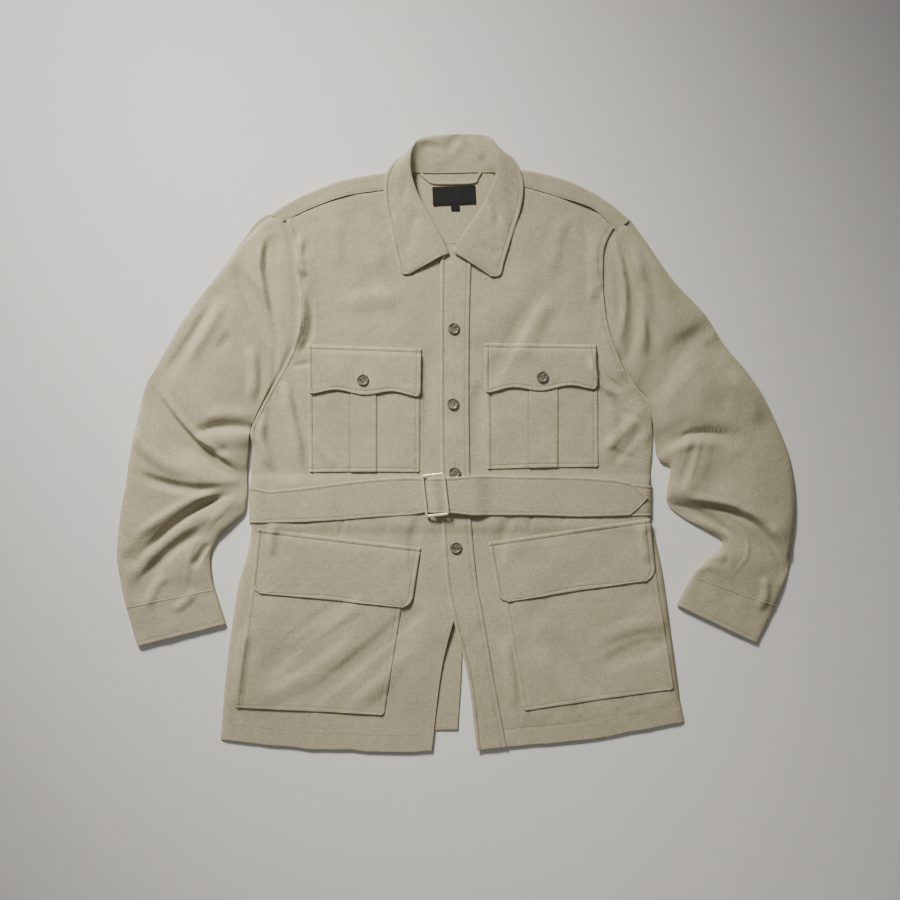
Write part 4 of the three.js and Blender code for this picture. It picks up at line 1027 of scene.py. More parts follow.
# %% Sleeve shapes
SLEEVE_COLUMNS = "outX outY inX inY pull"
SLEEVES = {
    "left": table(SLEEVE_COLUMNS, [
        [227, 291, 264, 54, 1],
        [259, 248, 262, 24, 0.42],
        [291, 202, 263, -27, 0.14],
        [326, 166, 279, -33, 0.03],
        [350, 127, 278, -44, 0],
        [378, 94, 275, -62, 0],
        [403, 56, 276, -80, 0],
        [428, 0, 296, -97, 0],
        [438, -37, 323, -112, 0],
        [442, -74, 341, -122, 0],
        [441, -107, 347, -130, 0],
        [436, -146, 342, -140, 0],
        [429, -178, 330, -150, 0],
        [416, -211, 308, -172, 0],
        [392, -261, 287, -211, 0],
    ]),
    "right": table(SLEEVE_COLUMNS, [
        [-242, 299, -271, 15, 1],
        [-268, 285, -272, 4, 0.5],
        [-286, 257, -271, -14, 0.2],
        [-318, 212, -271, -28, 0.05],
        [-355, 161, -272, -39, 0],
        [-390, 100, -272, -49, 0],
        [-404, 75, -272, -60, 0],
        [-415, 30, -273, -74, 0],
        [-425, -16, -276, -91, 0],
        [-430, -52, -286, -102, 0],
        [-436, -84, -299, -114, 0],
        [-440, -117, -312, -128, 0],
        [-442, -149, -320, -147, 0],
        [-437, -181, -319, -170, 0],
        [-430, -213, -315, -189, 0],
        [-415, -265, -300, -236, 0],
    ]),
}
CUFF_LENGTH_SHARE = {"left": 1 / 14, "right": 1 / 15}
BACK_ARMHOLE = {
    "left": table("x y", [[227, 291], [213, 258], [209, 195], [217, 120], [248, 55]]),
    "right": table("x y", [[-243.5, 299], [-231.5, 258], [-228, 195], [-236, 120], [-267, 12]]),
}
CUFF_GAP_SHARE = 0.0007
SLEEVE_PUFF = 0.4
SLEEVE_FULLNESS = 5.0
SLEEVE_MID_HEIGHT = 2.4
UNDERLAP = 4.0


def fullness(v, t):
    """A sleeve stands fuller from below its head to above its cuff, and across it like an arch, 1 -
    (2t - 1)^4."""
    lengthwise = smoothstep((v - 0.1) / 0.2) * smoothstep((0.94 - v) / 0.16)
    return SLEEVE_FULLNESS * lengthwise * (1 - (2 * t - 1) ** 4)


def sleeve_top(x, y, v, t):
    """Outer face of a sleeve's upper side, never so low that it meets the lower side."""
    return eased_floor(LOFT + SLEEVE_PUFF + fold_height(x, y) + fullness(v, t)
                       + CREASE_STRENGTH * crease_height(SLEEVE_CREASES, x, y) + 1.3 * limpness(x, y))


def sleeve_point(side, v, t, upper, depth):
    """t crosses the tube from its outer fold to its inner one; near the head the ring bends to the
    armhole."""
    rows, front = SLEEVES[side], FRONTS[side]
    sign = -1 if side == "left" else 1
    out_x, out_y = along(rows["outX"], v), along(rows["outY"], v)
    in_x, in_y = along(rows["inX"], v), along(rows["inY"], v)
    pull = clamp01(along(rows["pull"], v))
    seam_v = ARMHOLE_ROWS / (len(front["inX"]) - 1)
    if upper:
        arm_x = along(front["outX"], t * seam_v) + sign * UNDERLAP * np.sin(np.pi * t)
        arm_y = along(front["outY"], t * seam_v)
    else:
        arm_x = along(BACK_ARMHOLE[side]["x"], t) - sign * 1.0
        arm_y = along(BACK_ARMHOLE[side]["y"], t)
    width = np.hypot(out_x - in_x, out_y - in_y)
    from_edge = np.minimum(t, 1 - t) * width
    round_off = rolled(from_edge, SLEEVE_ROLL if upper else SLEEVE_ROLL / 2)
    inwards = depth * (1 - round_off) * np.where(t < 0.5, 1, -1) / width
    x = mix(mix(out_x, in_x, t), arm_x, pull) + (in_x - out_x) * inwards
    y = mix(mix(out_y, in_y, t), arm_y, pull) + (in_y - out_y) * inwards
    if not upper:
        return x, y, SLEEVE_MID_HEIGHT * (1 - round_off) + depth * round_off
    tuck = (CLOTH + LAYER_GAP + 0.5) * smoothstep(1 - (v - 0.012) / 0.022)
    return x, y, mix(SLEEVE_MID_HEIGHT, sleeve_top(x, y, v, t) - tuck, round_off) - depth * round_off


def sleeve_rings(side, levels, depth):
    """Rings of a sleeve at the given levels: the upper side from fold to fold, then the lower side back."""
    over = (1 - np.cos(np.pi * np.linspace(0, 1, 60))) / 2
    under = (1 + np.cos(np.pi * np.linspace(0, 1, 26)[1:-1])) / 2
    t_over, v_over = np.meshgrid(over, levels)
    t_under, v_under = np.meshgrid(under, levels)
    top = np.stack(sleeve_point(side, v_over, t_over, True, depth), axis=-1)
    low = np.stack(sleeve_point(side, v_under, t_under, False, depth), axis=-1)
    rings = np.concatenate([top, low], axis=1)
    return rings if side == "left" else rings[:, ::-1]


def ring_lengths(rings):
    """Grain map of a tube in metres: length round each ring and length down the rings' middle."""
    around = np.linalg.norm(np.diff(rings, axis=1), axis=2)
    down = np.linalg.norm(np.diff(rings.mean(axis=1), axis=0), axis=1)
    u = np.pad(np.cumsum(around, axis=1), ((0, 0), (1, 0)))
    v = np.pad(np.cumsum(down), (1, 0))[:, None] + np.zeros_like(u)
    return np.stack([u, v], axis=-1) * MM


# %% Sleeves
for side in ("left", "right"):
    cuff_start = 1 - CUFF_LENGTH_SHARE[side]
    levels = stops(cuff_start - CUFF_GAP_SHARE, 1 / 175) * (cuff_start - CUFF_GAP_SHARE)
    outer, inner = sleeve_rings(side, levels, 0.0), sleeve_rings(side, levels, CLOTH)
    PANELS["sleeve_" + side] = outer
    made = wall("cloth_sleeve_" + side, outer, CLOTH, cloth, inner=inner, closed=True,
                grain=ring_lengths(outer))
    dress(made, "sleeve_" + side)
    print("sleeve", side, "faces", len(made.data.polygons))

# %% Cuffs
CUFF_TOP = (2.4, 0.35, 0.3, 0.0)
CUFF_EDGE = (5.3, 0.35, 0.4, 0.2)
CUFF_PROUD = 0.35       # mm that a cuff stands over its sleeve

for side in ("left", "right"):
    cuff_start = 1 - CUFF_LENGTH_SHARE[side]
    shares = stops(58, 2.4, first=(0.3, 0.8, 1.6, 2.4, 3.2), last=FINE)
    levels = mix(cuff_start, 1.0, shares)
    outer, inner = sleeve_rings(side, levels, 0.0), sleeve_rings(side, levels, TURNED_CLOTH)
    distances = border_distances(outer)
    upper_side = smoothstep((outer[..., 2] - 2.6) / 1.2)
    level_outer = outer.copy()
    relief, wear_and_painted_light = CUFF_PROUD, 0.0
    for border, edge in (("top", CUFF_TOP), ("bottom", CUFF_EDGE)):
        relief = relief + sewn_relief(level_outer, distances[border], edge)
        wear_and_painted_light = wear_and_painted_light + edge_wear_and_painted_light(level_outer, distances[border], edge[0])
    outer[..., 2] += upper_side * relief
    wear_and_painted_light = upper_side * wear_and_painted_light
    PANELS["cuff_" + side] = outer
    made = wall("cloth_cuff_" + side, outer, TURNED_CLOTH, cloth, inner=inner, closed=True,
                grain=ring_lengths(outer), wear_and_painted_light=wear_and_painted_light)
    dress(made, "cuff_" + side)
    print("cuff", side, "faces", len(made.data.polygons))

# %% [markdown]
# ## Collar
# A collar is one strip folded along its roll line. Each cross-section is two half curves that meet
# at the roll: up from the neck seam, then down and out to the free edge. At the back of the neck
# the fold lies below the collar's inside, so the heading at the roll turns with the place.

# %% Collar
COLLAR_COLUMNS = "seamX seamY seamZ rollX rollY rollZ edgeX edgeY edgeZ turn"
COLLAR = table(COLLAR_COLUMNS, [
    [-16, 240, 7.2, -9, 247, 8.8, -58, 221, 6.2, 1],
    [-20, 246, 7.2, -12, 252, 9.3, -70, 220, 6.2, 1],
    [-34, 262, 6.4, -24, 277, 9.8, -78, 240, 6.4, 1],
    [-47, 286, 6.0, -37, 301, 9.4, -86, 278, 6.6, 1],
    [-58, 307, 6.0, -49, 323, 9.8, -93, 314, 7.2, 1],
    [-64, 329, 7.0, -57, 347, 12.0, -93, 343, 7.2, 0.8],
    [-60, 347, 7.0, -59, 370, 14.0, -83, 363, 6.0, 0.3],
    [-52, 352, 3.0, -55, 387, 11.0, -70, 372, 1.5, -0.4],
    [-40, 351.8, 2.4, -45, 397, 5.0, -44, 365, 0, -1],
    [-20, 351.6, 2.3, -24, 401, 2.4, -22, 362, 0, -1],
    [0, 352, 2.3, 2, 402.5, 2.4, 2, 362, 0, -1],
    [22, 352.6, 2.3, 26, 402.5, 2.4, 24, 363, 0, -1],
    [38, 352.6, 2.4, 42, 399, 5.0, 40, 368, 0, -1],
    [48, 352.4, 3.0, 51, 389, 11.0, 64, 376, 1.5, -0.4],
    [56, 349, 7.0, 53, 372, 14.0, 78, 366, 6.0, 0.3],
    [58, 329, 7.0, 51, 347, 12.0, 87, 344, 7.2, 0.8],
    [49, 308, 6.0, 41, 322, 9.8, 86, 312, 7.2, 1],
    [40, 286, 6.0, 29, 300, 9.4, 74, 272, 6.6, 1],
    [25, 262, 6.4, 11, 275, 9.8, 63, 236, 6.4, 1],
    [10, 247, 7.2, -2, 253, 9.3, 58, 218, 6.2, 1],
    [7, 240, 7.2, -5, 249, 8.8, 46, 216, 6.2, 1],
])
FOLD_PULL = 9.0
COLLAR_SEEN_FROM = 4.0
COLLAR_CREASES = table(CREASE_COLUMNS, [
    [34, 326, 52, 304, 57, 280, -2.2, 4, 7],
    [26, 322, 42, 304, 48, 280, 1.5, 8, 7],
    [66, 336, 75, 300, 70, 258, -1.3, 10, 10],
    [-46, 306, -58, 276, -60, 240, -1.4, 9, 10],
    [-74, 306, -79, 276, -72, 246, 1.2, 9, 8],
    [8, 401, -4, 391, -10, 374, -1.8, 9, 9],
    [-48, 384, -32, 387, -14, 380, -1.6, 7, 9],
    [18, 398, 28, 384, 34, 366, 1.4, 9, 9],
    [30, 262, 44, 250, 60, 246, -1.0, 8, 9],
    [-62, 352, -66, 330, -70, 308, -1.2, 7, 7],
])


def collar_point(u, v):
    """Two cubic halves through seam, roll and edge; the heading at the roll is outward turned up by
    the table's angle."""
    def read(part):
        return np.stack([along(COLLAR[part + axis], u) for axis in "XYZ"])

    seam, roll, edge = read("seam"), read("roll"), read("edge")
    turn = along(COLLAR["turn"], u) * np.pi / 2
    outward = (edge - roll)[:2]
    outward = outward / np.linalg.norm(outward, axis=0)
    heading = FOLD_PULL * np.stack([outward[0] * np.cos(turn), outward[1] * np.cos(turn), np.sin(turn)])
    inner_half = v < 0.5
    f = np.where(inner_half, v * 2, v * 2 - 1)
    a, b = np.where(inner_half, seam, roll), np.where(inner_half, roll, edge)
    p, q = np.where(inner_half, roll - seam, heading), np.where(inner_half, heading, edge - roll)
    point = ((2 * f ** 3 - 3 * f ** 2 + 1) * a + (f ** 3 - 2 * f ** 2 + f) * p
             + (3 * f ** 2 - 2 * f ** 3) * b + (f ** 3 - f ** 2) * q)
    x, y, z = point
    on_leaf = smoothstep((v - 0.55) / 0.2) * smoothstep((z - 4) / 2)
    z = z + on_leaf * (0.5 + crease_height(COLLAR_CREASES, x, y) + 0.5 * limpness(x, y))
    in_back = smoothstep(v / 0.12) * smoothstep((0.5 - v) / 0.1) * smoothstep((y - 340) / 15)
    z = z + in_back * (0.5 + 1.1 * drift(x, y, 17) + crease_height(COLLAR_CREASES, x, y))
    return x, y, np.maximum(0, z)


COLLAR_LENGTH, COLLAR_DEPTH = 455, 104
COLLAR_EDGE = (5.3, 0.5, 0.55, 0.26)
COLLAR_FRONT = (5.3, 0.5, 0.55, 0.0)
collar_across = stops(COLLAR_LENGTH, 2.6, first=FINE, last=FINE)
collar_down = stops(COLLAR_DEPTH, 2.4, first=(0.5, 1.5), last=FINE)
grid = grid_of(collar_point, collar_across, collar_down)
distances = border_distances(grid)
on_leaf = smoothstep((np.linspace(0, 1, len(collar_down))[:, None] - 0.5) / 0.1)
relief = sewn_relief(grid, distances["bottom"], COLLAR_EDGE)
wear_and_painted_light = edge_wear_and_painted_light(grid, distances["bottom"], COLLAR_EDGE[0])
for side in ("left", "right"):
    relief += on_leaf * sewn_relief(grid, distances[side], COLLAR_FRONT)
    wear_and_painted_light += on_leaf * edge_wear_and_painted_light(grid, distances[side], COLLAR_FRONT[0])
grid += (relief * smoothstep((grid[..., 2] - 3) / 2))[..., None] * normals_of(grid)
PANELS["collar"] = grid
strip_length = distances["left"] * 0 + np.linspace(0, COLLAR_LENGTH, grid.shape[1])
made = wall("cloth_collar", grid, TURNED_SHELL, cloth,
            grain=np.stack([strip_length, distances["top"]], axis=-1) * MM,
            wear_and_painted_light=wear_and_painted_light * smoothstep((grid[..., 2] - 3) / 2))
dress(made, "collar")
print("collar reaches z", round(grid[..., 2].max(), 1), "mm, faces", len(made.data.polygons))

# %% [markdown]
# ## Placket, pockets and flaps
# These are turned pieces sewn on top. They could be flat boards with a bevel, but what makes them
# cloth is that they follow the front below them and that their edges are stitched: a swell, a dip
# and small puckers. The chest flaps have a scalloped lower edge, from a sine across the width.

# %% Placket
PLACKET = table("leftX rightX y slant", [
    [-20, 20, 246, -3],
    [-21, 18, 186, -4],
    [-21, 17, 117, 0],
    [-21, 17, 43, 0],
    [-20, 18, -35, 0],
    [-19, 19, -92, 0],
    [-13, 27, -178, 0],
    [-3, 36, -231, 2],
    [16, 49, -308, 2],
    [27, 66, -400, 4],
])


def placket_point(u, v):
    """A strip between the table's left and right edge, lying above both fronts."""
    x = mix(along(PLACKET["leftX"], v), along(PLACKET["rightX"], v), u)
    y = along(PLACKET["y"], v) + along(PLACKET["slant"], v) * u
    top = mix(top_height(x, y), HEM_HEIGHT, smoothstep((v - 0.93) / 0.07))
    return x, y, top + PLACKET_TOP


EDGE_STITCH = (5.2, 0.5, 0.6, 0.26)
placket_down = stops(652, 3.2, last=PLACKET_HEM_STOPS)
grid = facing_up(grid_of(placket_point, stops(38, 2.0, FINE, FINE), placket_down))
panel("placket", grid, TURNED_SHELL, {"left": EDGE_STITCH, "right": EDGE_STITCH, "bottom": HEM})

# %% Pockets and flaps
CHEST_SCALLOP = 6.0
POCKETS = {
    "chest_pocket_left": dict(
        corners=[[39, 112], [184, 112], [40, -34], [185, -31]], round=2, scallop=0, pleat=(94, 133)),
    "chest_pocket_right": dict(
        corners=[[-47, 112], [-193, 112], [-47, -38], [-191, -38]], round=2, scallop=0, pleat=(-138, -103)),
    "hip_pocket_left": dict(
        corners=[[54, -158], [258, -158], [88, -348], [283, -320]], round=4, scallop=0, pleat=None),
    "hip_pocket_right": dict(
        corners=[[-62, -158], [-262, -158], [-94, -354], [-288, -344]], round=4, scallop=0, pleat=None),
}
CHEST_LIFT = POCKET_TOP + PLEAT_RISE + SHELL_GAP
HIP_LIFT = POCKET_TOP + SHELL_GAP
FLAPS = {
    "chest_flap_left": dict(
        corners=[[37, 130], [182, 128], [37, 65], [184, 70]], round=6,
        scallop=CHEST_SCALLOP, lift=CHEST_LIFT),
    "chest_flap_right": dict(
        corners=[[-45, 123], [-193, 128], [-46, 60], [-192, 64]], round=6,
        scallop=CHEST_SCALLOP, lift=CHEST_LIFT),
    "hip_flap_left": dict(
        corners=[[42, -129], [252, -98], [56, -208], [260, -177]], round=15, scallop=0, lift=HIP_LIFT),
    "hip_flap_right": dict(
        corners=[[-46, -136], [-258, -111], [-58, -215], [-267, -194]], round=14, scallop=0, lift=HIP_LIFT),
}
PLEAT_STOPS = (-1.6, -0.8, -0.3, 0, 0.3, 0.6, 0.9, 1.2, 1.6, 2.4)      # mm from each edge of a pleat
ALL_SIDES = ("left", "right", "top", "bottom")
PLEAT_EDGE = 1.2


def patch_plan(patch, u, v):
    """Between four corners, with its lower corners rounded in and its lower edge scalloped by a
    squared sine."""
    top_in, top_out, low_in, low_out = np.array(patch["corners"], float)
    height, width = np.linalg.norm(low_in - top_in), np.linalg.norm(top_out - top_in)
    above = (1 - v) * height
    radius = patch["round"]
    inset = np.where(above < radius, radius - np.sqrt(np.maximum(0, radius ** 2 - (radius - above) ** 2)), 0)
    across = mix(inset / width, 1 - inset / width, u)
    x, y = (mix(mix(top_in[k], top_out[k], across), mix(low_in[k], low_out[k], across), v) for k in (0, 1))
    return x, y + patch["scallop"] * np.sin(2 * np.pi * across) ** 2 * v ** 2


def patch_size(patch):
    """Width along the upper edge and height along the inner one, in mm."""
    corners = np.array(patch["corners"], float)
    return abs(corners[1, 0] - corners[0, 0]), abs(corners[2, 1] - corners[0, 1])


def pleat_edge_painted_shade(grid, pleat):
    """Painted shade along a pleat's two pressed edges: a dark line along each, darker on the right one."""
    x = grid[..., 0]
    return -0.7 * np.exp(-((x - pleat[0]) / 0.9) ** 2) - 0.9 * np.exp(-((x - pleat[1]) / 0.9) ** 2)


def pocket_point(patch, u, v):
    """A patch on the front; between the pleat's two edges it is one fold higher."""
    x, y = patch_plan(patch, u, v)
    z = top_height(x, y) + POCKET_TOP
    if patch["pleat"]:
        low, high = patch["pleat"]
        z = z + PLEAT_RISE * smoothstep((x - low) / PLEAT_EDGE) * smoothstep((high - x) / PLEAT_EDGE)
    return x, y, z


def flap_point(patch, u, v):
    """A flap starts on the front and rises over its pocket within the first fifth of its length."""
    x, y = patch_plan(patch, u, v)
    offset = mix(SHELL_GAP, patch["lift"], smoothstep(v / 0.2)) + TURNED_SHELL
    return x, y, top_height(x, y) + offset


for node, patch in POCKETS.items():
    width, height = patch_size(patch)
    across = stops(width, 2.6, FINE, FINE)
    pleat = patch["pleat"]
    if pleat:
        first_x, last_x = patch["corners"][0][0], patch["corners"][1][0]
        crease_places = np.array([edge + step for edge in pleat for step in PLEAT_STOPS])
        shares = (crease_places - first_x) / (last_x - first_x)
        across = np.unique(np.concatenate([across, np.round(shares, 5)]))
    grid = facing_up(grid_of(lambda u, v: pocket_point(patch, u, v), across, stops(height, 2.8, last=FINE)))
    panel(node, grid, SHELL, {"left": EDGE_STITCH, "right": EDGE_STITCH, "bottom": EDGE_STITCH},
          lift=1.0 if pleat else 0.55,
          wear_and_painted_light=pleat_edge_painted_shade(grid, pleat) if pleat else 0.0)

for node, patch in FLAPS.items():
    width, height = patch_size(patch)
    across, down = stops(width, 2.4, FINE, FINE), stops(height, 2.4, FINE, FINE)
    grid = facing_up(grid_of(lambda u, v: flap_point(patch, u, v), across, down))
    panel(node, grid, TURNED_SHELL, dict.fromkeys(ALL_SIDES, EDGE_STITCH))

# %% [markdown]
# ## Belt and buckle
# The belt's free end comes round the side, climbs through the buckle and lies on the buckle end up
# to its tip. Its height over the body is one more table, because that is what the buckle's frame
# leaves room for. The buckle is a flat steel wire: a rounded section carried along a rounded frame.

# %% Belt
BUCKLE = dict(x=-27.0, y=-67.4, width=31.5, height=55.5, wire=3.3, bar=2.4, thickness=1.8, corner=4.0)
BUCKLE_TILT = math.radians(6.6)
BUCKLE_RISE = 4.0 / 26
BUCKLE_OFFSET = 6.55
FREE_END = table("x top bottom lift", [
    [-268, -57, -104, SHELL_GAP],
    [-244, -62, -104, SHELL_GAP],
    [-200, -58, -103, SHELL_GAP],
    [-147, -51, -100, SHELL_GAP],
    [-100, -46, -96, SHELL_GAP],
    [-62, -44, -94, SHELL_GAP],
    [-44, -45, -90.6, 1.9],
    [-37.5, -45, -90.6, 1.9],
    [-29.5, -45, -90.6, 7.95],
    [-24.5, -45, -90.6, 7.95],
    [-18, -45, -90.6, 6.15],
    [-11, -45, -90.6, 6.15],
    [22, -42, -94, 6.15],
    [48, -42, -94, 1.5],
    [100, -43, -94, 1.5],
    [160, -44, -96, 1.5],
    [205, -47, -95, 1.5],
    [226, -51, -94, 1.5],
    [238, -61, -84, 1.5],
    [248, -70, -73, 1.5],
])
BUCKLE_END = table("x top bottom lift", [
    [-25.2, -46, -90, 4.35],
    [22, -44, -92, 4.35],
    [48, -44, -93, SHELL_GAP],
    [120, -45, -94, SHELL_GAP],
    [180, -47, -95, SHELL_GAP],
    [226, -52, -95, SHELL_GAP],
    [255, -56, -95, SHELL_GAP],
])
SIDE_EDGE = {"left": 253.6, "right": -267.6}
STRAP_EDGE = (4.0, 0.3, 0.4, 0.2)


def strap_grid(rows, side):
    """A strap between its top and bottom edge, above the body by its lift, rolled down at the body's side
    and slanted with the buckle where it passes through."""
    around = LAYER_GAP + CLOTH + 0.2
    edge_x = SIDE_EDGE[side] + (around if side == "left" else -around)
    start = edge_x if side == "right" else rows["x"][0]
    end = edge_x if side == "left" else rows["x"][-1]
    fine_start, fine_end = (ROUND, FINE) if side == "right" else (FINE, ROUND)

    def point(u, v):
        x = mix(start, end, u)
        top, bottom = np.interp(x, rows["x"], rows["top"]), np.interp(x, rows["x"], rows["bottom"])
        y = mix(top, bottom, v)
        height = top_height(x, (top + bottom) / 2) + eased_lookup(rows["x"], rows["lift"], x) + SHELL
        near_buckle = smoothstep(1 - (np.abs(x - BUCKLE["x"]) - 18) / 30)
        slant = math.tan(BUCKLE_TILT) * (y - BUCKLE["y"]) * near_buckle
        return x - slant, y, height * rolled(np.abs(edge_x - x), SIDE_ROLL + around)

    return facing_up(grid_of(point, stops(end - start, 3.0, fine_start, fine_end), stops(46, 2.2, FINE, FINE)))


for node, rows, side in (("belt_free_end", FREE_END, "right"), ("belt_buckle_end", BUCKLE_END, "left")):
    grid = strap_grid(rows, side)
    cover = smoothstep((grid[..., 2] - 3) / 2)
    panel(node, grid, SHELL, {"top": STRAP_EDGE, "bottom": STRAP_EDGE, side: STRAP_EDGE},
          lift=cover)


def back_strap(u, v):
    """Flat strap under the body, from side to side."""
    inset = LAYER_GAP + 0.2 - SEAM_GAP
    x = mix(SIDE_EDGE["right"] - inset, SIDE_EDGE["left"] + inset, u)
    return x, mix(BELT_Y + BELT_WIDTH / 2, BELT_Y - BELT_WIDTH / 2, v), CLOTH + 0 * x


panel("belt_back", facing_up(grid_of(back_strap, stops(522, 6), stops(50, 4))), CLOTH, {})


# %% Buckle
def rounded_frame(width, height, corner, count):
    """Points round a rectangle with quarter-round corners, in equal steps of its length, with their
    outward directions."""
    angle = np.linspace(0, 2 * np.pi, 721)[:-1]
    turn_x, turn_y = np.cos(angle), np.sin(angle)
    x = np.sign(turn_x) * (width / 2 - corner) + corner * turn_x
    y = np.sign(turn_y) * (height / 2 - corner) + corner * turn_y
    loop = np.stack([np.append(x, x[0]), np.append(y, y[0])], axis=-1)
    normal = np.stack([np.append(turn_x, turn_x[0]), np.append(turn_y, turn_y[0])], axis=-1)
    length = np.append(0, np.cumsum(np.linalg.norm(np.diff(loop, axis=0), axis=1)))
    places = np.linspace(0, length[-1], count + 1)[:-1]
    points = np.stack([np.interp(places, length, loop[:, k]) for k in (0, 1)], axis=-1)
    facing = np.stack([np.interp(places, length, normal[:, k]) for k in (0, 1)], axis=-1)
    return points, facing / np.linalg.norm(facing, axis=1, keepdims=True)


def tube_mesh(centre, side_way, up_way, half_width, half_height, sides, power=0.6):
    """A superellipse section carried along a closed path: cos and sin to a power below one give it
    flat faces."""
    angle = np.linspace(0, 2 * np.pi, sides, endpoint=False)
    across = np.sign(np.cos(angle)) * np.abs(np.cos(angle)) ** power * half_width
    above = np.sign(np.sin(angle)) * np.abs(np.sin(angle)) ** power * half_height
    sideways = side_way[:, None, :] * across[None, :, None]
    upwards = up_way[:, None, :] * above[None, :, None]
    return centre[:, None, :] + sideways + upwards


def place_buckle(points):
    """Turns points of the flat buckle into its leaning place on the belt: first the lean, then the
    tilt in plan."""
    lean = math.atan(BUCKLE_RISE)
    x, y, z = points[..., 0], points[..., 1], points[..., 2]
    leaned_x = x * math.cos(lean) - z * math.sin(lean)
    leaned_z = x * math.sin(lean) + z * math.cos(lean)
    cos_tilt, sin_tilt = math.cos(BUCKLE_TILT), math.sin(BUCKLE_TILT)
    at_x, at_y = np.array([BUCKLE["x"]]), np.array([BUCKLE["y"]])
    base = LOFT + belt_lift(at_y)[0] + fold_height(at_x, at_y)[0]
    return np.stack([
        BUCKLE["x"] + leaned_x * cos_tilt - y * sin_tilt,
        BUCKLE["y"] + leaned_x * sin_tilt + y * cos_tilt,
        base + BUCKLE_OFFSET + leaned_z,
    ], axis=-1)


def joined(name, parts, material):
    """One object from several closed tubes or capped rods, each a grid of points that closes along
    its rows."""
    points, quads, start = [], [], 0
    for grid, loop in parts:
        rows, cols = grid.shape[:2]
        index = np.arange(rows * cols).reshape(rows, cols) + start
        if loop:
            index = np.concatenate([index, index[:1]])
        quads.append(strips(index, True))
        points.append(grid.reshape(-1, 3))
        start += rows * cols
    everything = np.concatenate(points)
    return mesh_object(name, everything, np.concatenate(quads), everything[:, :2] * MM, material)


FRAME_STEPS, FRAME_SIDES = 160, 20
BAR_STEPS, BAR_SIDES = 40, 16
loop, facing = rounded_frame(BUCKLE["width"] - BUCKLE["wire"], BUCKLE["height"] - BUCKLE["wire"],
                             BUCKLE["corner"] - BUCKLE["wire"] / 2, FRAME_STEPS)
flat = np.zeros((FRAME_STEPS, 1))
frame_tube = tube_mesh(np.hstack([loop, flat]), np.hstack([facing, flat]), np.hstack([flat, flat, flat + 1]),
                       BUCKLE["wire"] / 2, BUCKLE["thickness"] / 2, FRAME_SIDES)
bar_half = BUCKLE["height"] / 2 - BUCKLE["wire"] + 0.3
run = np.linspace(-bar_half, bar_half, BAR_STEPS)
still = np.zeros(BAR_STEPS)
bar_tube = tube_mesh(np.stack([still, run, still], axis=-1), np.stack([still + 1, still, still], axis=-1),
                     np.stack([still, still, still + 1], axis=-1),
                     BUCKLE["bar"] / 2, BUCKLE["thickness"] / 2, BAR_SIDES)
ends = [np.repeat(bar_tube[k].mean(axis=0)[None, :], BAR_SIDES, axis=0)[None] for k in (0, -1)]
bar_tube = np.concatenate([ends[0], bar_tube, ends[1]])
parts = [(place_buckle(frame_tube)[:, ::-1], True), (place_buckle(bar_tube), False)]
buckle = joined("steel_buckle", parts, steel)
dress(buckle, "buckle")
print("buckle faces", len(buckle.data.polygons))

# %% [markdown]
# ## Buttons
# Four-hole horn buttons: a rounded rim, a dished middle and four small holes with the thread
# through them. A disc of rings shows all of that from one height function over its plan, with the
# holes as narrow wells, which is simpler than cutting them out.

# %% Buttons
BUTTONS = {
    "button_front_1": (-3, 149, PLACKET_TOP),
    "button_front_2": (-4, 51, PLACKET_TOP),
    "button_front_3": (-2, -38.5, PLACKET_TOP),
    "button_front_4": (0, -136, PLACKET_TOP),
    "button_flap_right": (-121, 82, FLAPS["chest_flap_right"]["lift"] + TURNED_SHELL),
    "button_flap_left": (112, 86, FLAPS["chest_flap_left"]["lift"] + TURNED_SHELL),
}
BUTTON_RADIUS = 7.6
BUTTON_THICKNESS = 1.9
BUTTON_GAP = 0.2
HOLE_PLACE = 1.5
HOLE_RADIUS = 0.95


def button_top(x, y):
    """Height over a button: a round rim, a dish inside it and four wells."""
    r = np.hypot(x, y) / BUTTON_RADIUS
    rim = BUTTON_THICKNESS * (0.62 + 0.38 * rolled(1 - r, 0.16))
    dish = 0.8 * smoothstep((0.80 - r) / 0.16)
    from_hole = np.hypot(np.abs(x) - HOLE_PLACE, np.abs(y) - HOLE_PLACE)
    wells = smoothstep((HOLE_RADIUS - from_hole) / 0.25 + 0.5)
    return rim - dish - 1.1 * wells


def button_rest(x, y):
    """Height of the cloth below a button, at its highest under the disc."""
    around = np.array([-BUTTON_RADIUS, 0, BUTTON_RADIUS])
    return top_height(x + 0 * around, y + around).max()


radii = np.unique(np.concatenate([np.linspace(0.02, 0.42, 22), np.linspace(0.42, 1, 18)])) * BUTTON_RADIUS
angles = np.linspace(0, 2 * np.pi, 48, endpoint=False)
BUTTON_TILTS = {}
for node, (x, y, under) in BUTTONS.items():
    ring_x, ring_y = radii[:, None] * np.cos(angles), radii[:, None] * np.sin(angles)
    upper = np.stack([ring_x, ring_y, button_top(ring_x, ring_y)], axis=-1)
    lower = np.stack([ring_x[::-1] * 0.86, ring_y[::-1] * 0.86, 0 * ring_x], axis=-1)
    both = np.concatenate([upper, lower])
    tilt = 0.6 * drift(np.array([x * 3.0]), np.array([y * 3.0]), 10)[0]
    BUTTON_TILTS[node] = tilt
    turned = np.stack([
        both[..., 0] * math.cos(tilt) - both[..., 1] * math.sin(tilt),
        both[..., 0] * math.sin(tilt) + both[..., 1] * math.cos(tilt),
        both[..., 2],
    ], axis=-1)
    rest = button_rest(x, y) + under + BUTTON_GAP
    closing = turned.copy()
    closing[0] = turned[0].mean(axis=0)
    closing[-1] = turned[-1].mean(axis=0)
    made = joined("horn_" + node, [((closing + np.array([x, y, rest]))[::-1], False)], horn)
    dress(made, node)
print("button faces", len(made.data.polygons))

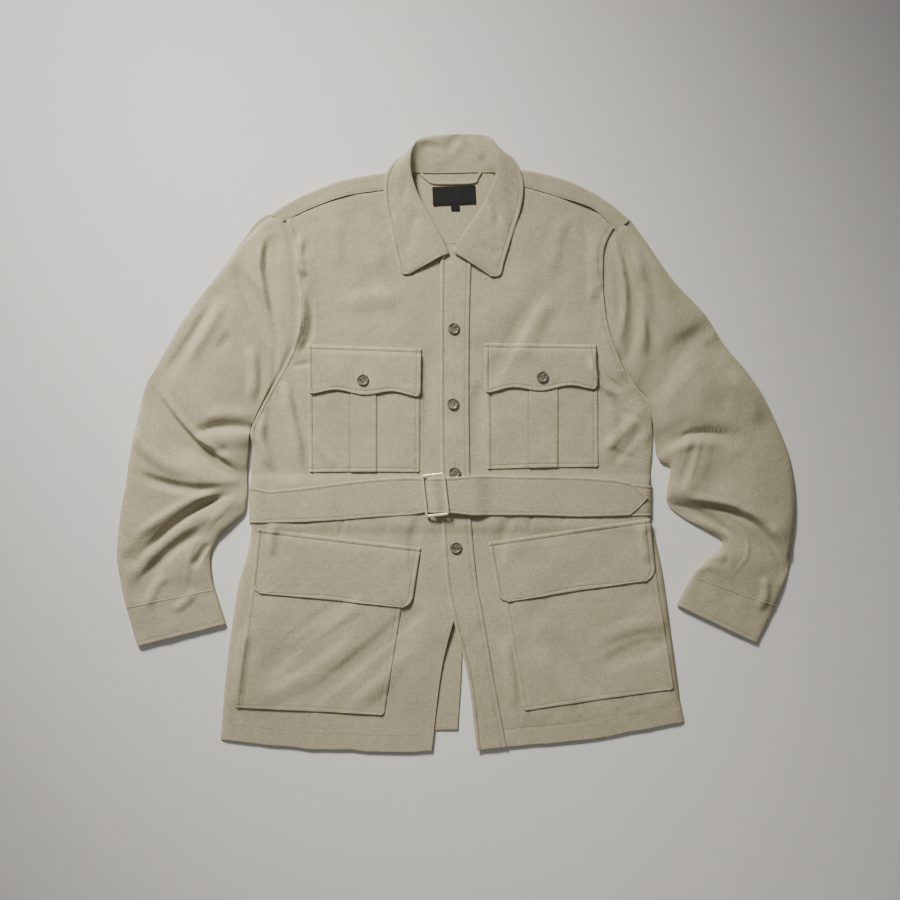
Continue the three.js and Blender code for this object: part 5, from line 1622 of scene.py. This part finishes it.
# %% [markdown]
# ## Inside the neck
# A narrow loop to hang the jacket by, and a dark woven label with a small tab below it. The label
# is left bare: plain dark ribbed tape with turned ends, sewn down along its two sides.

# %% Loop and labels
LOOP = table("x y", [[-46, 351], [-38, 344], [-28, 339], [-4, 338.5], [23, 340], [28, 346], [32, 353]])
LOOP_WIDTH = 4.0
LABEL = dict(x=-2.5, y=322.5, width=56, height=24.5, tilt=2.6, thickness=1.0)
TAB = dict(x=-1, y=306, width=11, height=7, tilt=2.6, thickness=1.0)
NECK_BASE = CLOTH + SEAM_GAP


def loop_point(u, v):
    """A round-backed strip along the loop's line, half its width to either side."""
    x, y = along(LOOP["x"], u), along(LOOP["y"], u)
    run_x, run_y = (along(LOOP[k], u + 0.01) - along(LOOP[k], u - 0.01) for k in "xy")
    run = np.hypot(run_x, run_y)
    off = (0.5 - v) * LOOP_WIDTH
    round_back = 0.7 * (1 - rolled(np.minimum(v, 1 - v), 0.5))
    return x - run_y / run * off, y + run_x / run * off, NECK_BASE + TURNED_CLOTH - round_back


panel("hanger_loop", facing_up(grid_of(loop_point, np.linspace(0, 1, 110), np.linspace(0, 1, 13))),
      TURNED_CLOTH - 0.4, {})


def label_point(size, u, v):
    """A small rectangle turned in plan, slightly wavy, with its folded ends a little thicker."""
    tilt = math.radians(size["tilt"])
    x, y = (u - 0.5) * size["width"], (0.5 - v) * size["height"]
    ends = 0.25 * smoothstep((np.abs(u - 0.5) - 0.42) / 0.02)
    wave = 0.18 * np.sin(x / 6.0) * np.cos(y / 9.0)
    turned_x = size["x"] + x * math.cos(tilt) - y * math.sin(tilt)
    turned_y = size["y"] + x * math.sin(tilt) + y * math.cos(tilt)
    return turned_x, turned_y, NECK_BASE + size["thickness"] + ends + wave


LABEL_STOPS = (0.3, 0.6)
LABEL_EDGE = (1.6, 0.1, 0.2, 0.0)
LABEL_SHELL = 0.7
for node, size in (("label", LABEL), ("label_tab", TAB)):
    across, down = (stops(size[key], 1.0, LABEL_STOPS, LABEL_STOPS) for key in ("width", "height"))
    grid = facing_up(grid_of(lambda u, v: label_point(size, u, v), across, down))
    panel(node, grid, LABEL_SHELL, dict.fromkeys(ALL_SIDES, LABEL_EDGE),
          material=neck_tape)

# %% [markdown]
# ## Stitching
# Every stitched line is a row of short threads, each a spindle that dives into the cloth at both
# ends. The lines are read from the finished grids at their distance from the border, so they lie in
# the dips. One joined mesh per group, made from arrays, keeps thousands of stitches cheap.

# %% Lines on the panels
STITCH_LENGTH = 2.5
STITCH_RADIUS = 0.30


def border_line(node, side, inset, trim=(0.0, 0.0)):
    """Points of a panel at a distance from one border, from one end to the other, shortened by trim."""
    grid = PANELS[node]
    distance = border_distances(grid)[side]
    if side in ("top", "bottom"):
        grid, distance = grid.transpose(1, 0, 2), distance.T
    at_inset = np.argmin(np.abs(distance - inset), axis=1)
    rows = np.arange(len(grid))
    rising = np.sign(distance[0, -1] - distance[0, 0]).astype(int)
    step = np.where(distance[rows, at_inset] < inset, 1, -1) * rising
    other = np.clip(at_inset + step, 0, grid.shape[1] - 1)
    span = distance[rows, other] - distance[rows, at_inset]
    share = np.where(np.abs(span) > 1e-6, (inset - distance[rows, at_inset]) / np.where(span == 0, 1, span), 0)
    line = grid[rows, at_inset] + clamp01(share)[:, None] * (grid[rows, other] - grid[rows, at_inset])
    return trimmed(line, *trim)


def trimmed(line, start, end):
    """The line without its first and last few mm."""
    length = np.append(0, np.cumsum(np.linalg.norm(np.diff(line, axis=0), axis=1)))
    places = np.linspace(start, length[-1] - end, max(2, int(length[-1] / 2)))
    return np.stack([np.interp(places, length, line[:, k]) for k in range(3)], axis=-1)


def spindles(middles, runs, length=STITCH_LENGTH, radius=STITCH_RADIUS):
    """Threads through the middles along the runs: six-sided, five rings each, thickest in the
    middle, sunk at the ends."""
    run = runs / np.linalg.norm(runs, axis=1, keepdims=True)
    share = np.array([-0.5, -0.34, 0.0, 0.34, 0.5])
    spine = middles[:, None, :] + share[None, :, None] * length * run[:, None, :]
    spine[..., 2] += np.array([-0.25, 0.05, 0.16, 0.05, -0.25])
    side_way = np.cross(run, [0, 0, 1.0])
    side_way = side_way / np.linalg.norm(side_way, axis=1, keepdims=True)
    up_way = np.cross(side_way, run)
    angle = np.linspace(0, 2 * np.pi, 6, endpoint=False)
    thick = radius * np.array([0.25, 0.85, 1.0, 0.85, 0.25])
    return (spine[:, :, None, :]
            + thick[None, :, None, None] * np.cos(angle)[None, None, :, None] * side_way[:, None, None, :]
            + thick[None, :, None, None] * np.sin(angle)[None, None, :, None] * up_way[:, None, None, :])


def read_along(line, places):
    """Points of a line at distances from its start, and its length."""
    length = np.append(0, np.cumsum(np.linalg.norm(np.diff(line, axis=0), axis=1)))
    return np.stack([np.interp(places * length[-1], length, line[:, k]) for k in range(3)], axis=-1), length[-1]


def stitches(line):
    """A row of stitches along a line, one for every pitch."""
    total = read_along(line, np.array([0.0]))[1]
    count = max(1, int(total / STITCH_PITCH))
    middle = (np.arange(count) + 0.5) / count
    reach = STITCH_LENGTH / 2 / total
    run = read_along(line, middle + reach)[0] - read_along(line, middle - reach)[0]
    return spindles(read_along(line, middle)[0], run)


def satin(line, width):
    """A bar of close stitches that lie across a line."""
    total = read_along(line, np.array([0.0]))[1]
    middle = (np.arange(int(total / 0.55)) + 0.5) / int(total / 0.55)
    run = read_along(line, middle + 0.02)[0] - read_along(line, middle - 0.02)[0]
    return spindles(read_along(line, middle)[0], np.cross(run, [0, 0, 1.0]), length=width)


def laid_on(node, path):
    """A drawn line laid on a panel: every point takes the height of its nearest grid points, weighed
    by 1/d^2."""
    path = np.array(path, float)
    length = np.append(0, np.cumsum(np.linalg.norm(np.diff(path, axis=0), axis=1)))
    places = np.linspace(0, length[-1], max(4, int(length[-1] / 1.5)))
    x, y = (np.interp(places, length, path[:, k]) for k in (0, 1))
    cloud = PANELS[node].reshape(-1, 3)
    cloud = cloud[cloud[:, 2] > SLEEVE_MID_HEIGHT + 0.2]
    away = (cloud[:, 0] - x[:, None]) ** 2 + (cloud[:, 1] - y[:, None]) ** 2
    near = np.argpartition(away, 5, axis=1)[:, :5]
    weight = 1 / (np.take_along_axis(away, near, axis=1) + 0.05)
    return np.stack([x, y, (cloud[near, 2] * weight).sum(axis=1) / weight.sum(axis=1)], axis=-1)


def beside(path, offset):
    """A path moved sideways in plan."""
    path = np.array(path, float)
    run = np.gradient(path, axis=0)
    side_way = np.stack([run[:, 1], -run[:, 0]], axis=-1) / np.linalg.norm(run, axis=1, keepdims=True)
    return path + offset * side_way


def thread_object(name, rows):
    """All the stitches of several rows as one closed mesh: five rings to a stitch and a quad pair at
    each end."""
    everything = np.concatenate(rows)
    count = len(everything)
    index = np.arange(count * 30).reshape(count, 5, 6)
    after = np.roll(index, -1, axis=2)
    body = np.stack([index[:, :-1], after[:, :-1], after[:, 1:], index[:, 1:]], axis=-1).reshape(-1, 4)
    first, last = index[:, 0], index[:, -1]
    caps = [first[:, [0, 3, 2, 1]], first[:, [0, 5, 4, 3]], last[:, [0, 1, 2, 3]], last[:, [0, 3, 4, 5]]]
    points = everything.reshape(-1, 3)
    made = mesh_object(name, points, np.concatenate([body] + caps), points[:, :2] * MM, thread)
    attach(made, "root")
    print(name, count, "stitches")
    return made


# %% Stitch the pockets, flaps and placket
INSET = EDGE_STITCH[0]
PLACKET_SECOND = 10.0       # mm from the placket's left border to its second line, below the belt
pocket_lines = []
for node in POCKETS:
    for side in ("left", "right"):
        pocket_lines.append(border_line(node, side, INSET, (20, 5)))
    pocket_lines.append(border_line(node, "bottom", INSET, (5, 5)))
for node in FLAPS:
    for side in ALL_SIDES:
        pocket_lines.append(border_line(node, side, INSET, (5, 5)))
thread_object("thread_pockets", [stitches(line) for line in pocket_lines])

placket_left = border_line("placket", "left", PLACKET_SECOND, (8, 0))
body_lines = [border_line("placket", side, INSET, (8, 0)) for side in ("left", "right")]
body_lines.append(placket_left[placket_left[:, 1] < -100])
for side, armhole_end in (("left", 60), ("right", 26)):
    body_lines.append(border_line("front_" + side, "bottom", HEM[0], (16, 10)))
    body_lines.append(border_line("back_" + side, "bottom", HEM[0], (6, 12)))
    armhole = border_line("front_" + side, side, ARMHOLE[0], (6, 0))
    body_lines.append(armhole[armhole[:, 1] > armhole_end])
shoulder = border_line("yoke", "bottom", YOKE_EDGE[0])
body_lines += [shoulder[shoulder[:, 0] < -92], shoulder[shoulder[:, 0] > 90]]
thread_object("thread_body", [stitches(line) for line in body_lines])

# %% Stitch the sleeves, collar and belt
UNDER_SEAMS = {
    "sleeve_right": [(-286, -71), (-310, -95), (-329, -119), (-344, -138), (-347, -160), (-349, -190)],
    "sleeve_left": [(357, -104), (374, -117), (379, -134), (368, -155), (357, -173)],
}
sleeve_lines = []
for node, path in UNDER_SEAMS.items():
    sleeve_lines += [laid_on(node, beside(path, offset)) for offset in (-2.6, 2.6)]
for node in ("cuff_left", "cuff_right"):
    for border, edge in (("top", CUFF_TOP), ("bottom", CUFF_EDGE)):
        line = border_line(node, border, edge[0])
        sleeve_lines.append(line[line[:, 2] > SLEEVE_MID_HEIGHT + 1.6])
collar_edge = border_line("collar", "bottom", COLLAR_EDGE[0], (5, 5))
for leaf in (collar_edge[:, 0] < 0, collar_edge[:, 0] > 0):
    sleeve_lines.append(collar_edge[leaf & (collar_edge[:, 2] > COLLAR_SEEN_FROM)])
sleeve_lines += [border_line("collar", side, COLLAR_FRONT[0], (52, 5)) for side in ("left", "right")]
for node in ("belt_free_end", "belt_buckle_end"):
    sleeve_lines += [border_line(node, side, STRAP_EDGE[0], (14, 4)) for side in ("top", "bottom")]
thread_object("thread_sleeves_and_belt", [stitches(line) for line in sleeve_lines])

# %% Buttonholes and button thread
bars = []
for node, (x, y, under) in BUTTONS.items():
    cloth_node = "placket" if "front" in node else node.replace("button_flap", "chest_flap")
    for offset in (-0.8, 0.8):
        bars.append(satin(laid_on(cloth_node, [(x + offset, y + 5.0), (x + offset, y + 14.0)]), 1.3))
    bars.append(satin(laid_on(cloth_node, [(x - 1.3, y + 14.4), (x + 1.3, y + 14.4)]), 1.6))
thread_object("thread_buttonholes", bars)

crossings = []
for node, (x, y, under) in BUTTONS.items():
    tilt = BUTTON_TILTS[node]
    level = button_rest(x, y) + under + BUTTON_GAP + BUTTON_THICKNESS - 0.72
    way = np.array([math.cos(tilt), math.sin(tilt), 0.0])
    side_way = np.array([-math.sin(tilt), math.cos(tilt), 0.0])
    middles = np.array([x, y, level]) + np.array([[-1.0], [1.0]]) * HOLE_PLACE * side_way
    for lane in (-0.22, 0.22):
        crossings.append(spindles(middles + lane * side_way, np.stack([way, way]), 2 * HOLE_PLACE, 0.2))
thread_object("thread_buttons", crossings)
